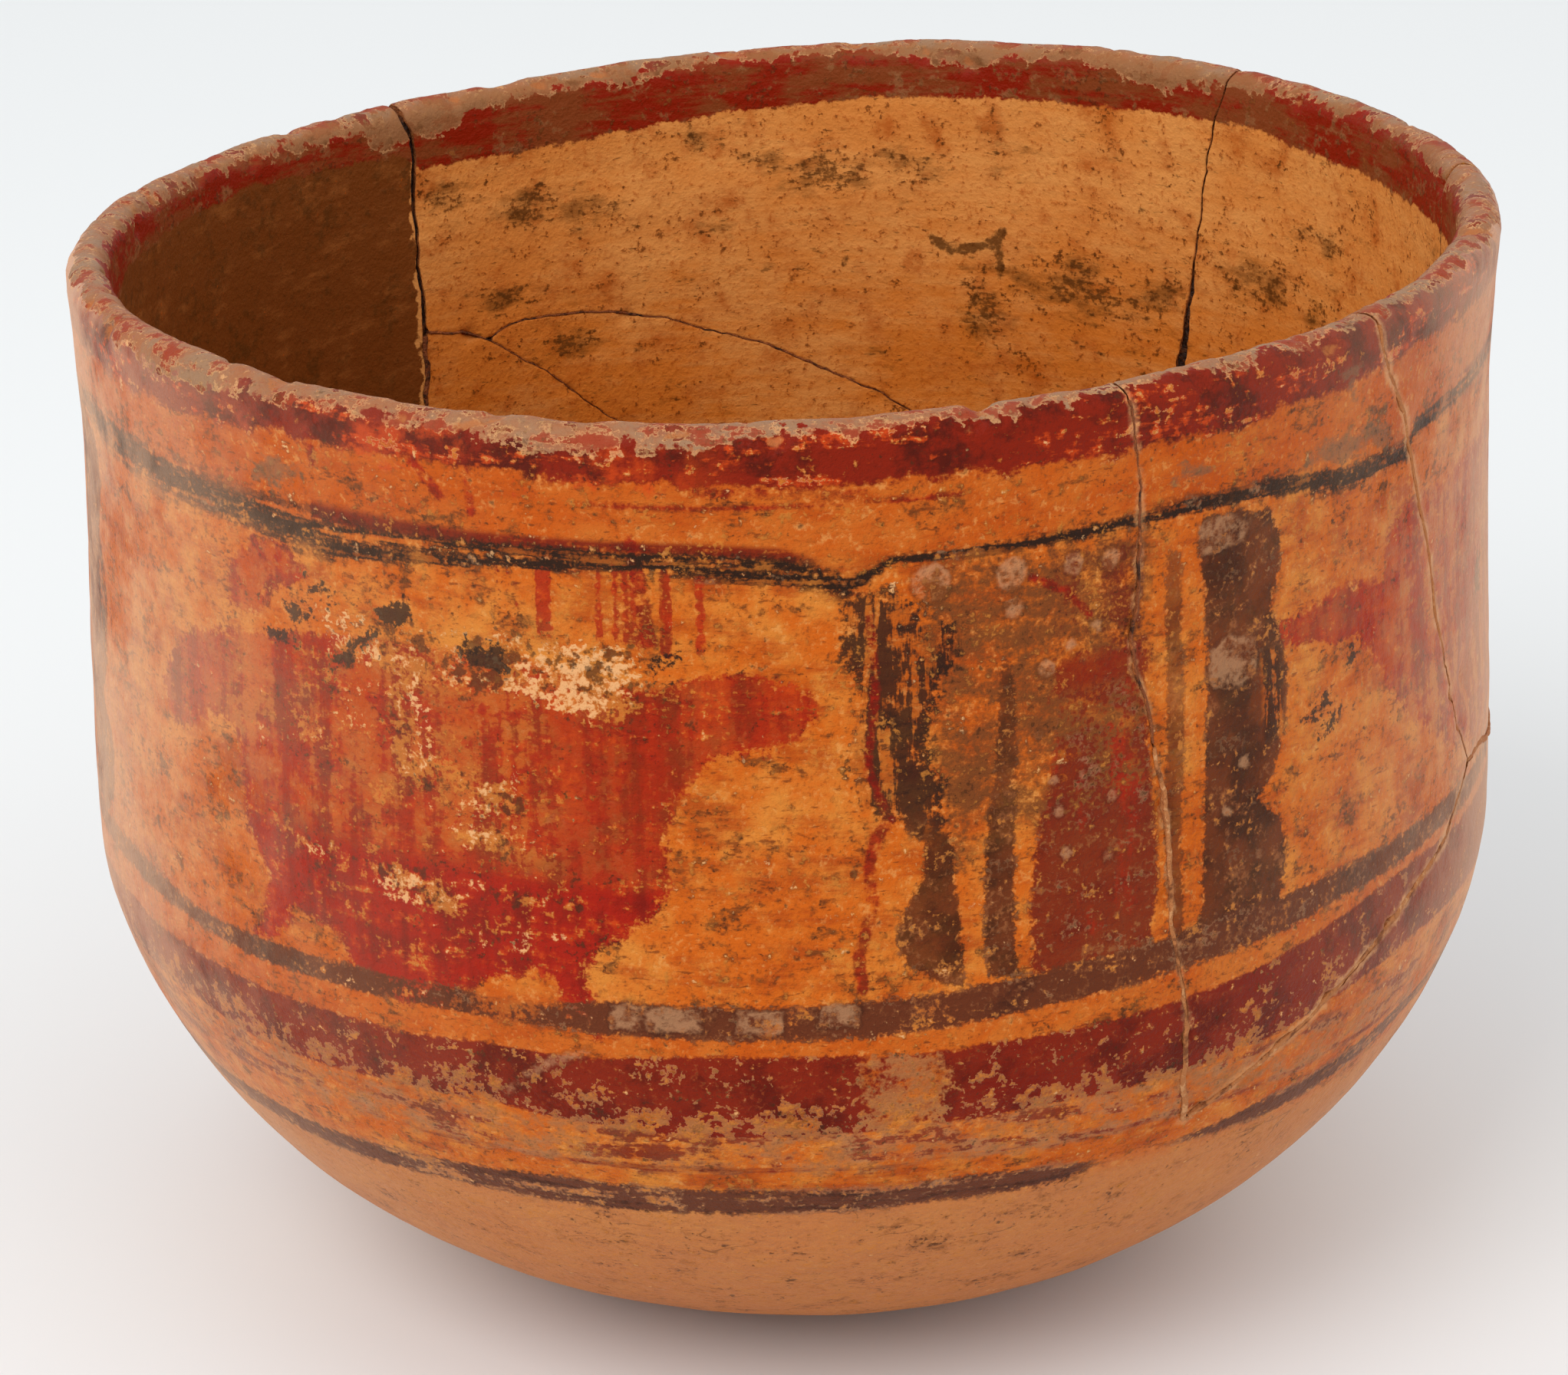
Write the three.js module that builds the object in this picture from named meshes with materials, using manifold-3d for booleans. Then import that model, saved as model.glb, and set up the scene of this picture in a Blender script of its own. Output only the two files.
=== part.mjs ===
// A hand-built painted terracotta bowl, mended from seven sherds with adhesive in every joint.
// Millimetres, +Z up. The origin is under the middle of the bowl, on the face that it rests on.
// Headings are degrees round the bowl, from +X and anticlockwise seen from above.

import * as THREE from 'three';
import { mergeVertices } from 'three/addons/utils/BufferGeometryUtils.js';
import Module from 'manifold-3d';

// Driving dimensions of the bowl.
const bowlHeight = 160;
const rimRadius = 105;
const waistRadius = 104.6;
const waistHeight = 118.4;
const bulgeRadius = 106.1;
const bulgeHeight = 71.6;
const footRadius = 22;
const wallThickness = 5.7;
const lipThickness = 6.4;
const lipTaperHeight = 14;

// The lower body's curve: how full it is low down, and how steeply it leaves the foot.
const bellyFullness = 0.955;
const bellyRise = 1.15;

// A coiled and scraped bowl isn't true: these are the rim's rise and fall, its oval and the
// foot's step to one side.
const rimRise = 2.2;
const rimRiseHeading = 10.6;
const rimSaddle = 0.8;
const rimSaddleHeading = 40;
const rimRipple = 0.6;
const rimRippleHeading = -42;
const rimOval = 1.8;
const rimOvalHeading = 48;
const footOffset = 1.3;

// The joints between sherds, and the film of adhesive that stands in each.
const jointWidth = 0.9;
const jointClearance = 0.3;
const glueThickness = jointWidth - 2 * jointClearance;
const glueRecess = 0.8;

// Beads of adhesive squeezed out of the side joint, between these places on it.
const beadSpans = [[1.815, 1.985], [1.6, 1.697], [1.333, 1.423]];
const beadHalfWidth = 1.6;
const beadHalfDepth = 0.8;
const beadNeckThickness = glueThickness * 2 / 3;

// How finely the surfaces are faceted.
const turnSegments = 80;
const bellySteps = 11;
const upperSteps = 10;
const lipSteps = 5;
const jointStep = 6;
const beadSides = 8;

// How far a cutting blade reaches past the wall on both sides.
const knifeReach = 4;

// A place on the wall is a heading and a share up the outer face: 0 at the foot's edge, 1 at the
// bulge and 2 where the lip starts.
const atFoot = 0;
const atLip = 2;
const lipStartHeight = bowlHeight - lipThickness / 2;
const overRim = atLip + (lipThickness / 2 + knifeReach) / (lipStartHeight - bulgeHeight);

// Where joints meet each other.
const frontFoot = [-58.8, 0.79];
const rightFoot = [-22.3, 1.16];
const sideFoot = [5, 1.122];
const slantEnd = [52, 0.93];
const crescentStart = [128, 1.575];
const lensStart = [120.8, 1.529];
const lensEnd = [51, 1.063];
const crescentEnd = [53, 0.863];
const backFoot = [54, 0.8];

// Every joint between its ends, from the break lines that show on the bowl. Those that are out of
// sight, low on the back, run on from the ones that show.
const joints = {
    front: [[-65.8, overRim], [-65, atLip], [-64.2, 1.89], [-64, 1.71], [-64.8, 1.638],
        [-63.2, 1.5], [-62, 1.35], [-61.6, 1.18], [-60.5, 0.98], [-59.8, 0.85], frontFoot],
    right: [[-40, overRim], [-39.6, atLip], [-38.5, 1.94], [-35.2, 1.845], [-33.8, 1.757],
        [-31, 1.608], [-28.8, 1.45], [-25.5, 1.258], rightFoot],
    side: [[6, overRim], [5.3, atLip], [5, 1.955], [4, 1.72], [5.5, 1.46], [5, 1.286], sideFoot],
    slantFront: [frontFoot, [-54, 0.83], [-46.5, 0.903], [-37.6, 0.993], [-28, 1.067], rightFoot],
    slantRight: [rightFoot, [-17, 1.153], [-8, 1.1], sideFoot],
    slantBack: [sideFoot, [18, 1.075], [36, 1.015], slantEnd],
    leftUpper: [[130.5, overRim], [129.4, atLip], [128.7, 1.967], [128.8, 1.85], [128.3, 1.66],
        crescentStart],
    leftLower: [crescentStart, [128, 1.44], [129, 1.19], [124, 0.9], [110, 0.71],
        [88, 0.64], [68, 0.71], backFoot],
    backUpper: [[43.6, overRim], [44.5, atLip], [45.5, 1.942], [46.5, 1.82], [48.2, 1.574],
        [50.5, 1.25], lensEnd],
    backLower: [lensEnd, slantEnd, crescentEnd, backFoot],
    crescent: [crescentStart, [123.2, 1.553], lensStart, [114.2, 1.433], [109, 1.336],
        [98, 1.157], [82, 1], [66, 0.9], crescentEnd],
    lens: [lensStart, [118.7, 1.557], [111.5, 1.553], [101.8, 1.514], [90.5, 1.424],
        [78, 1.297], [66, 1.17], lensEnd],
};

// One place well inside each sherd.
const sherds = {
    base_and_left_wall_sherd: [-125, 1.13],
    front_right_sherd: [-48, 1.49],
    right_sherd: [-15, 1.49],
    back_right_sherd: [25, 1.55],
    back_sherd: [88, 1.78],
    back_lens_sherd: [85, 1.19],
    back_crescent_sherd: [115, 1.02],
};

// The films of adhesive: the joint, how far up the outer face the film runs, and whether it is
// the pale filler that shows in the front joints or the brown glue.
const films = {
    front_joint_glue: { joint: 'front', from: 1.462, to: atLip, pale: false },
    front_joint_fill: { joint: 'front', from: atFoot, to: 1.451, pale: true },
    slant_joint_fill: { joint: 'slantFront', from: atFoot, to: atLip, pale: true },
    right_joint_glue: { joint: 'right', from: atFoot, to: atLip, pale: false },
    slant_joint_right_glue: { joint: 'slantRight', from: atFoot, to: atLip, pale: true },
    slant_joint_back_glue: { joint: 'slantBack', from: atFoot, to: atLip, pale: false },
    side_joint_glue: { joint: 'side', from: atFoot, to: atLip, pale: false, beads: beadSpans },
    left_joint_upper_glue: { joint: 'leftUpper', from: atFoot, to: atLip, pale: false },
    left_joint_lower_glue: { joint: 'leftLower', from: atFoot, to: atLip, pale: false },
    back_joint_upper_glue: { joint: 'backUpper', from: atFoot, to: atLip, pale: false },
    back_joint_lower_glue: { joint: 'backLower', from: atFoot, to: atLip, pale: false },
    crescent_joint_glue: { joint: 'crescent', from: atFoot, to: atLip, pale: false },
    lens_joint_glue: { joint: 'lens', from: atFoot, to: atLip, pale: false },
};

const radians = THREE.MathUtils.degToRad;

const clay = new THREE.MeshStandardMaterial({ color: 0xb5673a, roughness: 0.82, metalness: 0 });
const brownGlue = new THREE.MeshStandardMaterial({ color: 0x4a3524, roughness: 0.4, metalness: 0 });
const paleFill = new THREE.MeshStandardMaterial({ color: 0xc9a67c, roughness: 0.9, metalness: 0 });

// The outer face's radius above the bulge: level at the bulge, in at the waist, out to the rim.
function upperRadius(height) {
    const reach = lipStartHeight - bulgeHeight;
    const u = (Math.min(height, lipStartHeight) - bulgeHeight) / reach;
    const w = (waistHeight - bulgeHeight) / reach;
    const atRim = rimRadius - bulgeRadius;
    const atWaist = waistRadius - bulgeRadius;
    const cubic = (atWaist - atRim * w * w) / (w * w * w - w * w);
    return bulgeRadius + (atRim - cubic) * u * u + cubic * u * u * u;
}

// The outer face as [radius, height] at a place s up it, and straight on up past the lip's start.
function outerFace(s) {
    if (s >= 1) {
        const height = bulgeHeight + (s - 1) * (lipStartHeight - bulgeHeight);
        return [upperRadius(height), height];
    }
    const t = Math.max(s, 0) * Math.PI / 2;
    const radius = footRadius + (bulgeRadius - footRadius) * Math.sin(t) ** bellyFullness;
    return [radius, bulgeHeight * (1 - Math.cos(t) ** bellyRise)];
}

// The wall's thickness, which grows into the lip.
function thicknessAt(s) {
    const below = lipStartHeight - outerFace(s)[1];
    const share = THREE.MathUtils.clamp(1 - below / lipTaperHeight, 0, 1);
    return wallThickness + (lipThickness - wallThickness) * share;
}

// A point at a depth in from the outer face, square to it, as [radius, height].
function inWall(s, depth) {
    const nudge = 1e-3;
    const [r0, z0] = outerFace(Math.max(s - nudge, 0));
    const [r1, z1] = outerFace(s + nudge);
    const length = Math.hypot(r1 - r0, z1 - z0);
    const [radius, height] = outerFace(s);
    return [radius - depth * (z1 - z0) / length, height + depth * (r1 - r0) / length];
}

// The bowl's own unevenness, which grows from the foot to the rim. The foot's step fades upwards.
function handBuilt(point) {
    const share = point.z / bowlHeight;
    const turn = Math.atan2(point.y, point.x);
    const oval = rimOval / rimRadius * Math.cos(2 * (turn - radians(rimOvalHeading)));
    const rise = rimRise * Math.cos(turn - radians(rimRiseHeading))
        + rimSaddle * Math.cos(2 * (turn - radians(rimSaddleHeading)))
        + rimRipple * Math.cos(3 * (turn - radians(rimRippleHeading)));
    point.x = point.x * (1 + share * oval) + footOffset * (1 - share) ** 2;
    point.y = point.y * (1 + share * oval);
    point.z = point.z + share * rise;
    return point;
}

function onBowl([heading, s], depth) {
    const [radius, height] = inWall(s, depth);
    const turn = radians(heading);
    return handBuilt(new THREE.Vector3(radius * Math.cos(turn), radius * Math.sin(turn), height));
}

// A closed geometry as a solid that can be joined and cut.
function toSolid(geometry) {
    const bare = new THREE.BufferGeometry();
    bare.setAttribute('position', geometry.getAttribute('position'));
    bare.setIndex(geometry.getIndex());
    const welded = mergeVertices(bare, 1e-4);
    const index = welded.getIndex().array;
    const corners = [];
    for (let i = 0; i < index.length; i += 3) {
        const [a, b, c] = [index[i], index[i + 1], index[i + 2]];
        if (a !== b && b !== c && c !== a) corners.push(a, b, c);
    }
    const vertProperties = Float32Array.from(welded.getAttribute('position').array);
    const triVerts = Uint32Array.from(corners);
    return new wasm.Manifold(new wasm.Mesh({ numProp: 3, vertProperties, triVerts }));
}

function toGeometry(positions, corners) {
    const geometry = new THREE.BufferGeometry();
    geometry.setAttribute('position', new THREE.Float32BufferAttribute(positions, 3));
    geometry.setIndex(Array.from(corners));
    return geometry;
}

// The whole bowl before it broke: its closed profile turned about the axis, then made uneven.
function wholeBowl() {
    const profile = [new THREE.Vector2(0, 0)];
    const add = ([radius, height]) => profile.push(new THREE.Vector2(radius, height));
    for (let i = 0; i <= bellySteps; i++) add(outerFace(i / bellySteps));
    for (let i = 1; i <= upperSteps; i++) add(outerFace(1 + i / upperSteps));
    const lipMiddle = rimRadius - lipThickness / 2;
    for (let i = 1; i <= lipSteps; i++) {
        const angle = Math.PI * i / lipSteps;
        add([lipMiddle + lipThickness / 2 * Math.cos(angle),
            lipStartHeight + lipThickness / 2 * Math.sin(angle)]);
    }
    for (let i = upperSteps - 1; i >= 1; i--) {
        const s = 1 + i / upperSteps;
        add(inWall(s, thicknessAt(s)));
    }
    for (let i = bellySteps; i >= 0; i--) add(inWall(i / bellySteps, wallThickness));
    profile.push(new THREE.Vector2(0, wallThickness));
    const turned = new THREE.LatheGeometry(profile, turnSegments);
    turned.rotateX(Math.PI / 2);
    const position = turned.getAttribute('position');
    const point = new THREE.Vector3();
    for (let i = 0; i < position.count; i++) {
        handBuilt(point.fromBufferAttribute(position, i));
        position.setXYZ(i, point.x, point.y, point.z);
    }
    return toSolid(turned);
}

// A place part of the way from one to another, or past either.
function between([heading0, s0], [heading1, s1], share) {
    return [heading0 + (heading1 - heading0) * share, s0 + (s1 - s0) * share];
}

function midWall(place) {
    return onBowl(place, wallThickness / 2);
}

// A joint's centre line as a list of places, its own corners among them.
function stationsOf(joint) {
    const line = [joint[0]];
    for (let i = 1; i < joint.length; i++) {
        const run = midWall(joint[i]).distanceTo(midWall(joint[i - 1]));
        const count = Math.ceil(run / jointStep);
        for (let k = 1; k <= count; k++) line.push(between(joint[i - 1], joint[i], k / count));
    }
    return line;
}

// The line with its start drawn back along itself, or carried on past it if negative.
function drawnBack(line, length) {
    const kept = [...line];
    let left = length;
    let run = midWall(kept[0]).distanceTo(midWall(kept[1]));
    while (run < left && kept.length > 2) {
        left -= run;
        kept.shift();
        run = midWall(kept[0]).distanceTo(midWall(kept[1]));
    }
    kept[0] = between(kept[0], kept[1], left / run);
    return kept;
}

function drawnBackBothEnds(line, length) {
    return drawnBack(drawnBack(line, length).reverse(), length).reverse();
}

// The stretch of a line between two places up the outer face. The line falls or rises steadily.
function spanOf(line, low, high) {
    const kept = [];
    line.forEach((place, i) => {
        if (i > 0) {
            const [before, now] = [line[i - 1][1], place[1]];
            for (const level of before > now ? [high, low] : [low, high]) {
                if ((before - level) * (now - level) < 0) {
                    kept.push(between(line[i - 1], place, (level - before) / (now - before)));
                }
            }
        }
        if (place[1] >= low && place[1] <= high) kept.push(place);
    });
    return kept;
}

// The direction along the wall, square to a line, at one of its places.
function acrossAt(line, i) {
    const along = midWall(line[Math.min(i + 1, line.length - 1)]).sub(midWall(line[Math.max(i - 1, 0)]));
    return along.cross(onBowl(line[i], 0).sub(onBowl(line[i], wallThickness))).normalize();
}

// The depths that a film runs between. The knife has the same rows, so that both bend alike.
function filmDepths(s) {
    return [glueRecess, thicknessAt(s) - glueRecess];
}

// A closed tube of rings with equally many corners, which may shrink to a point at either end.
function closedTube(rings) {
    const sides = rings[0].length;
    const corners = [];
    for (let i = 1; i < rings.length; i++) {
        for (let k = 0; k < sides; k++) {
            const [a, b] = [(i - 1) * sides + k, (i - 1) * sides + (k + 1) % sides];
            corners.push(a, a + sides, b, b, a + sides, b + sides);
        }
    }
    const last = (rings.length - 1) * sides;
    for (let k = 1; k < sides - 1; k++) {
        corners.push(0, k, k + 1, last, last + k + 1, last + k);
    }
    return toSolid(toGeometry(rings.flat().flatMap((point) => point.toArray()), corners));
}

// A thin blade that stands across the wall all along a line, with a row of corners at each depth.
function blade(line, width, depthsAt) {
    return closedTube(line.map((place, i) => {
        const side = acrossAt(line, i).multiplyScalar(width / 2);
        const rows = depthsAt(place[1]).map((depth) => onBowl(place, depth));
        return [...rows.map((point) => point.clone().sub(side)),
            ...rows.reverse().map((point) => point.clone().add(side))];
    }));
}

// A bead of adhesive that stands just clear of the wall along a joint, and the neck that ties it
// to the film.
function bead(line, [low, high]) {
    const span = spanOf(line, low, high);
    const spine = Array.from({ length: beadSides + 1 },
        (_, i) => between(span[0], span[span.length - 1], i / beadSides));
    const rings = spine.map((place, i) => {
        const swell = Math.sin(Math.PI * i / beadSides);
        return Array.from({ length: beadSides }, (_, k) => {
            const turn = -2 * Math.PI * k / beadSides;
            const lift = jointClearance + beadHalfDepth * swell * (1 + Math.cos(turn));
            const reach = beadHalfWidth * swell * Math.sin(turn);
            return onBowl(place, -lift).addScaledVector(acrossAt(spine, i), reach);
        });
    });
    const neckEnd = (high - low) / beadSides;
    const neck = spanOf(line, low + neckEnd, high - neckEnd);
    const standing = () => [-jointClearance - beadHalfDepth / 2, glueRecess, 2 * glueRecess];
    return closedTube(rings).add(blade(neck, beadNeckThickness, standing));
}

function jointKnife(joint) {
    const line = drawnBackBothEnds(stationsOf(joint), -jointWidth / 2);
    return blade(line, jointWidth, (s) => [-knifeReach, ...filmDepths(s), wallThickness + knifeReach]);
}

function jointFilm({ joint, from, to, beads = [] }) {
    const line = stationsOf(joints[joint]);
    const drawBack = jointWidth / 2 + jointClearance;
    const stretch = drawnBackBothEnds(spanOf(line, from, to), drawBack);
    let film = blade(stretch, glueThickness, filmDepths);
    for (const span of beads) film = film.add(bead(line, span));
    return film;
}

// The separate bodies of a cut solid: corners that share a triangle belong to one body.
function bodiesOf(solid) {
    const { vertProperties, triVerts } = solid.getMesh();
    const leader = Array.from({ length: vertProperties.length / 3 }, (_, i) => i);
    const find = (i) => {
        while (leader[i] !== i) {
            leader[i] = leader[leader[i]];
            i = leader[i];
        }
        return i;
    };
    for (let i = 0; i < triVerts.length; i += 3) {
        leader[find(triVerts[i + 1])] = find(triVerts[i]);
        leader[find(triVerts[i + 2])] = find(triVerts[i]);
    }
    const bodies = new Map();
    for (let i = 0; i < triVerts.length; i += 3) {
        const key = find(triVerts[i]);
        if (!bodies.has(key)) bodies.set(key, []);
        bodies.get(key).push(triVerts[i], triVerts[i + 1], triVerts[i + 2]);
    }
    return [...bodies.values()].map((corners) => toGeometry(Array.from(vertProperties), corners));
}

function geometryOf(solid) {
    const { vertProperties, triVerts } = solid.getMesh();
    return toGeometry(Array.from(vertProperties), triVerts);
}

// The body whose corners come nearest to a point.
function nearestBody(bodies, point) {
    const corner = new THREE.Vector3();
    const reach = bodies.map((body) => {
        let nearest = Infinity;
        for (const i of body.getIndex().array) {
            corner.fromBufferAttribute(body.getAttribute('position'), i);
            nearest = Math.min(nearest, corner.distanceTo(point));
        }
        return nearest;
    });
    return bodies[reach.indexOf(Math.min(...reach))];
}

const wasm = await Module();
wasm.setup();

let broken = wholeBowl();
for (const joint of Object.values(joints)) broken = broken.subtract(jointKnife(joint));
const pieces = bodiesOf(broken);

const bowl = new THREE.Group();
for (const [name, place] of Object.entries(sherds)) {
    const geometry = nearestBody(pieces, midWall(place));
    const sherd = new THREE.Mesh(geometry, clay);
    sherd.name = name;
    bowl.add(sherd);
}
for (const [name, film] of Object.entries(films)) {
    const glue = new THREE.Mesh(geometryOf(jointFilm(film)), film.pale ? paleFill : brownGlue);
    glue.name = name;
    bowl.add(glue);
}

// The bowl stands with its middle over the origin.
const middle = new THREE.Box3().setFromObject(bowl, true).getCenter(new THREE.Vector3());
bowl.position.set(-middle.x, -middle.y, 0);

export default bowl;
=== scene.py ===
import math
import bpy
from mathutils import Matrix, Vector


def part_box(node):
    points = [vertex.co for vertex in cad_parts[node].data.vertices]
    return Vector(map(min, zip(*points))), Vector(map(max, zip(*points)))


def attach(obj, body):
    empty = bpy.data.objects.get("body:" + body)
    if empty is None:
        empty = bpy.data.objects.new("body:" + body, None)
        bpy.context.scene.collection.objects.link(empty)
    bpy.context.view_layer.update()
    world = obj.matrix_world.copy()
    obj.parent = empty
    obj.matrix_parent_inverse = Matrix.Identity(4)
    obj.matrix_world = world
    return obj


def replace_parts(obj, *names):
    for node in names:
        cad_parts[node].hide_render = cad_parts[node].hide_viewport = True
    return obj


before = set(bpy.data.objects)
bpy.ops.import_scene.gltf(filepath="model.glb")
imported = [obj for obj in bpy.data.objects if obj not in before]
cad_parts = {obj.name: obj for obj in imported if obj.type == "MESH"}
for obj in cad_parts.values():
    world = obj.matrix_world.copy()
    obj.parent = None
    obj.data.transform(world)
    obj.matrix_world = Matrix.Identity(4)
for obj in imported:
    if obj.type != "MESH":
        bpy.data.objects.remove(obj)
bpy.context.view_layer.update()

from types import SimpleNamespace

import bpy
import numpy as np
from mathutils import Matrix, Vector
from mathutils.geometry import delaunay_2d_cdt

scene = bpy.context.scene
print("frame loaded,", len(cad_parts), "nodes")

# The bowl's own sizes in millimetres, the same as the fixed model's.
bowl = {"height": 160, "rimRadius": 105, "waistRadius": 104.6, "waistHeight": 118.4,
        "bulgeRadius": 106.1, "bulgeHeight": 71.6, "footRadius": 22, "wall": 5.7, "lip": 6.4,
        "lipTaper": 14, "fullness": 0.955, "bellyRise": 1.15}
uneven = {"rise": 2.2, "riseHeading": 10.6, "saddle": 0.8, "saddleHeading": 40, "ripple": 0.6,
          "rippleHeading": -42, "oval": 1.8, "ovalHeading": 48, "footOffset": 1.3}
lipStart = bowl["height"] - bowl["lip"] / 2
overLip = 2.06    # the share that stands for the very top of the lip


def profileOfBowl(steps=700):
    # From the middle of the foot to the top of the lip. Below the bulge the radius follows a power
    # of the sine of the way up and the height a power of its cosine, above it the radius is a cubic
    # of the height, and the lip is a quarter circle. The inner face lies square across the wall.
    foot, bulge, level = bowl["footRadius"], bowl["bulgeRadius"], bowl["bulgeHeight"]
    way = np.linspace(0, np.pi / 2, steps)
    up = np.linspace(0, 1, steps)[1:]
    waist = (bowl["waistHeight"] - level) / (lipStart - level)
    atRim, atWaist = bowl["rimRadius"] - bulge, bowl["waistRadius"] - bulge
    cubic = (atWaist - atRim * waist ** 2) / (waist ** 3 - waist ** 2)
    arc = np.linspace(0, np.pi / 2, 60)[1:]
    middle, half = bowl["rimRadius"] - bowl["lip"] / 2, bowl["lip"] / 2
    flat = np.linspace(0, foot, 60, endpoint=False)
    radius = np.concatenate([flat, foot + (bulge - foot) * np.sin(way) ** bowl["fullness"],
                             bulge + (atRim - cubic) * up ** 2 + cubic * up ** 3,
                             middle + half * np.cos(arc)])
    height = np.concatenate([flat * 0, level * (1 - np.abs(np.cos(way)) ** bowl["bellyRise"]),
                             level + up * (lipStart - level), lipStart + half * np.sin(arc)])
    share = np.concatenate([flat / foot - 1, way / (np.pi / 2), 1 + up,
                            2 + (overLip - 2) * arc / (np.pi / 2)])
    run, rise = np.gradient(radius), np.gradient(height)
    length = np.hypot(run, rise)
    faceOut, faceUp = rise / length, -run / length
    along = np.concatenate([[0], np.cumsum(np.hypot(np.diff(radius), np.diff(height)))])
    spread = np.where(radius <= foot, radius, 0)
    start = len(flat)
    growth = np.diff(along) / ((radius[1:] + radius[:-1]) / 2)
    spread[start:] = foot * np.exp(np.concatenate([[0], np.cumsum(growth[start:])]))
    nearLip = np.clip(1 - (lipStart - height) / bowl["lipTaper"], 0, 1)
    thick = bowl["wall"] + (bowl["lip"] - bowl["wall"]) * nearLip
    inUp = faceUp * (1 - nearLip)
    inOut = np.sqrt(1 - inUp ** 2) * np.where(radius < foot, 0, 1)
    onLip = share > 2
    innerRadius = np.where(onLip, 2 * middle - radius, radius - thick * inOut)
    innerHeight = np.where(onLip, height, height - thick * inUp)
    return {"share": share, "along": along, "spread": spread, "radius": radius, "height": height,
            "faceOut": faceOut, "faceUp": faceUp, "innerRadius": innerRadius,
            "innerHeight": innerHeight, "innerFaceOut": np.where(onLip, -faceOut, -inOut),
            "innerFaceUp": np.where(onLip, faceUp, -inUp)}


profile = profileOfBowl()
alongTop, spreadTop = profile["along"][-1], profile["spread"][-1]


def at(name, along):
    return np.interp(along, profile["along"], profile[name])


def alongAt(share):
    return np.interp(share, profile["share"], profile["along"])


def handBuilt(turn, radius, height):
    # The rim's rise, saddle and ripple and its oval grow with height; the foot's step fades with it.
    u = uneven
    share = height / bowl["height"]
    oval = u["oval"] / bowl["rimRadius"] * np.cos(2 * (turn - math.radians(u["ovalHeading"])))
    rise = (u["rise"] * np.cos(turn - math.radians(u["riseHeading"]))
            + u["saddle"] * np.cos(2 * (turn - math.radians(u["saddleHeading"])))
            + u["ripple"] * np.cos(3 * (turn - math.radians(u["rippleHeading"]))))
    reach = radius * (1 + share * oval)
    return np.stack([reach * np.cos(turn) + u["footOffset"] * (1 - share) ** 2,
                     reach * np.sin(turn), height + share * rise], -1)


def centreShift():
    # The fixed model stands with its middle over the origin: compare one sherd's reach with its box.
    turn, along = np.meshgrid(np.radians(np.arange(-180, 180, 0.5)), np.linspace(0, alongTop, 400))
    points = handBuilt(turn, at("radius", along), at("height", along))
    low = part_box("base_and_left_wall_sherd")[0]
    return np.array([low.x * 1000 - points[..., 0].min(), low.y * 1000 - points[..., 1].min(), 0])


shift = centreShift()


def onWall(turn, along, lift=0, inner=False):
    # Points of the outer or inner face in millimetres, lifted square to it.
    names = ("innerRadius", "innerHeight", "innerFaceOut", "innerFaceUp") if inner else (
        "radius", "height", "faceOut", "faceUp")
    radius, height, out, up = (at(name, along) for name in names)
    return handBuilt(turn, radius + lift * out, height + lift * up) + shift


def toChart(turn, along):
    # A flat map of the wall that keeps angles: as a stereographic map does on a globe.
    reach = at("spread", along)
    return np.stack([reach * np.cos(turn), reach * np.sin(turn)], -1)


def fromChart(points):
    reach = np.hypot(points[:, 0], points[:, 1])
    return (np.arctan2(points[:, 1], points[:, 0]),
            np.interp(reach, profile["spread"], profile["along"]))


def chartScale(points):
    # How many units of the map make a millimetre of the wall.
    reach = np.hypot(points[:, 0], points[:, 1])
    radius = np.interp(reach, profile["spread"], profile["radius"])
    return reach / np.maximum(radius, 1e-6)


# Large odd numbers that scatter the slopes of the noise.
hashSteps = np.array([374761393, 668265263, 1440662683])
hashSeed, hashMix = 974634777, 1274126177


def noise(points, size, seed=0):
    # Smooth noise of about -1 to 1: slopes hashed at the corners of cells of this size, blended.
    cell = points / size
    corner = np.floor(cell).astype(np.int64)
    inside = cell - corner
    ease = inside ** 3 * (inside * (inside * 6 - 15) + 10)
    total = np.zeros(len(points))
    for k in range(8):
        step = np.array([k & 1, k >> 1 & 1, k >> 2])
        key = (corner + step) @ hashSteps + seed * hashSeed
        key = (key ^ key >> 13) * hashMix
        key = key ^ key >> 16
        slope = np.stack([key & 1023, key >> 10 & 1023, key >> 20 & 1023], -1) / 511.5 - 1
        share = np.prod(np.where(step, ease, 1 - ease), -1)
        total += share * np.sum(slope * (inside - step), -1)
    return total * 1.4


def smooth(value, low, high):
    t = np.clip((value - low) / (high - low), 0, 1)
    return t * t * (3 - 2 * t)


# Places where joints meet: a heading in degrees, and a share up the outer face that is 0 at the
# foot's edge, 1 at the bulge and 2 where the lip starts.
meets = {"frontFoot": [-58.8, 0.79], "rightFoot": [-22.3, 1.16], "sideFoot": [5, 1.122],
         "slantEnd": [52, 0.93], "crescentStart": [128, 1.575], "lensStart": [120.8, 1.529],
         "lensEnd": [51, 1.063], "crescentEnd": [53, 0.863], "backFoot": [54, 0.8]}

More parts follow.
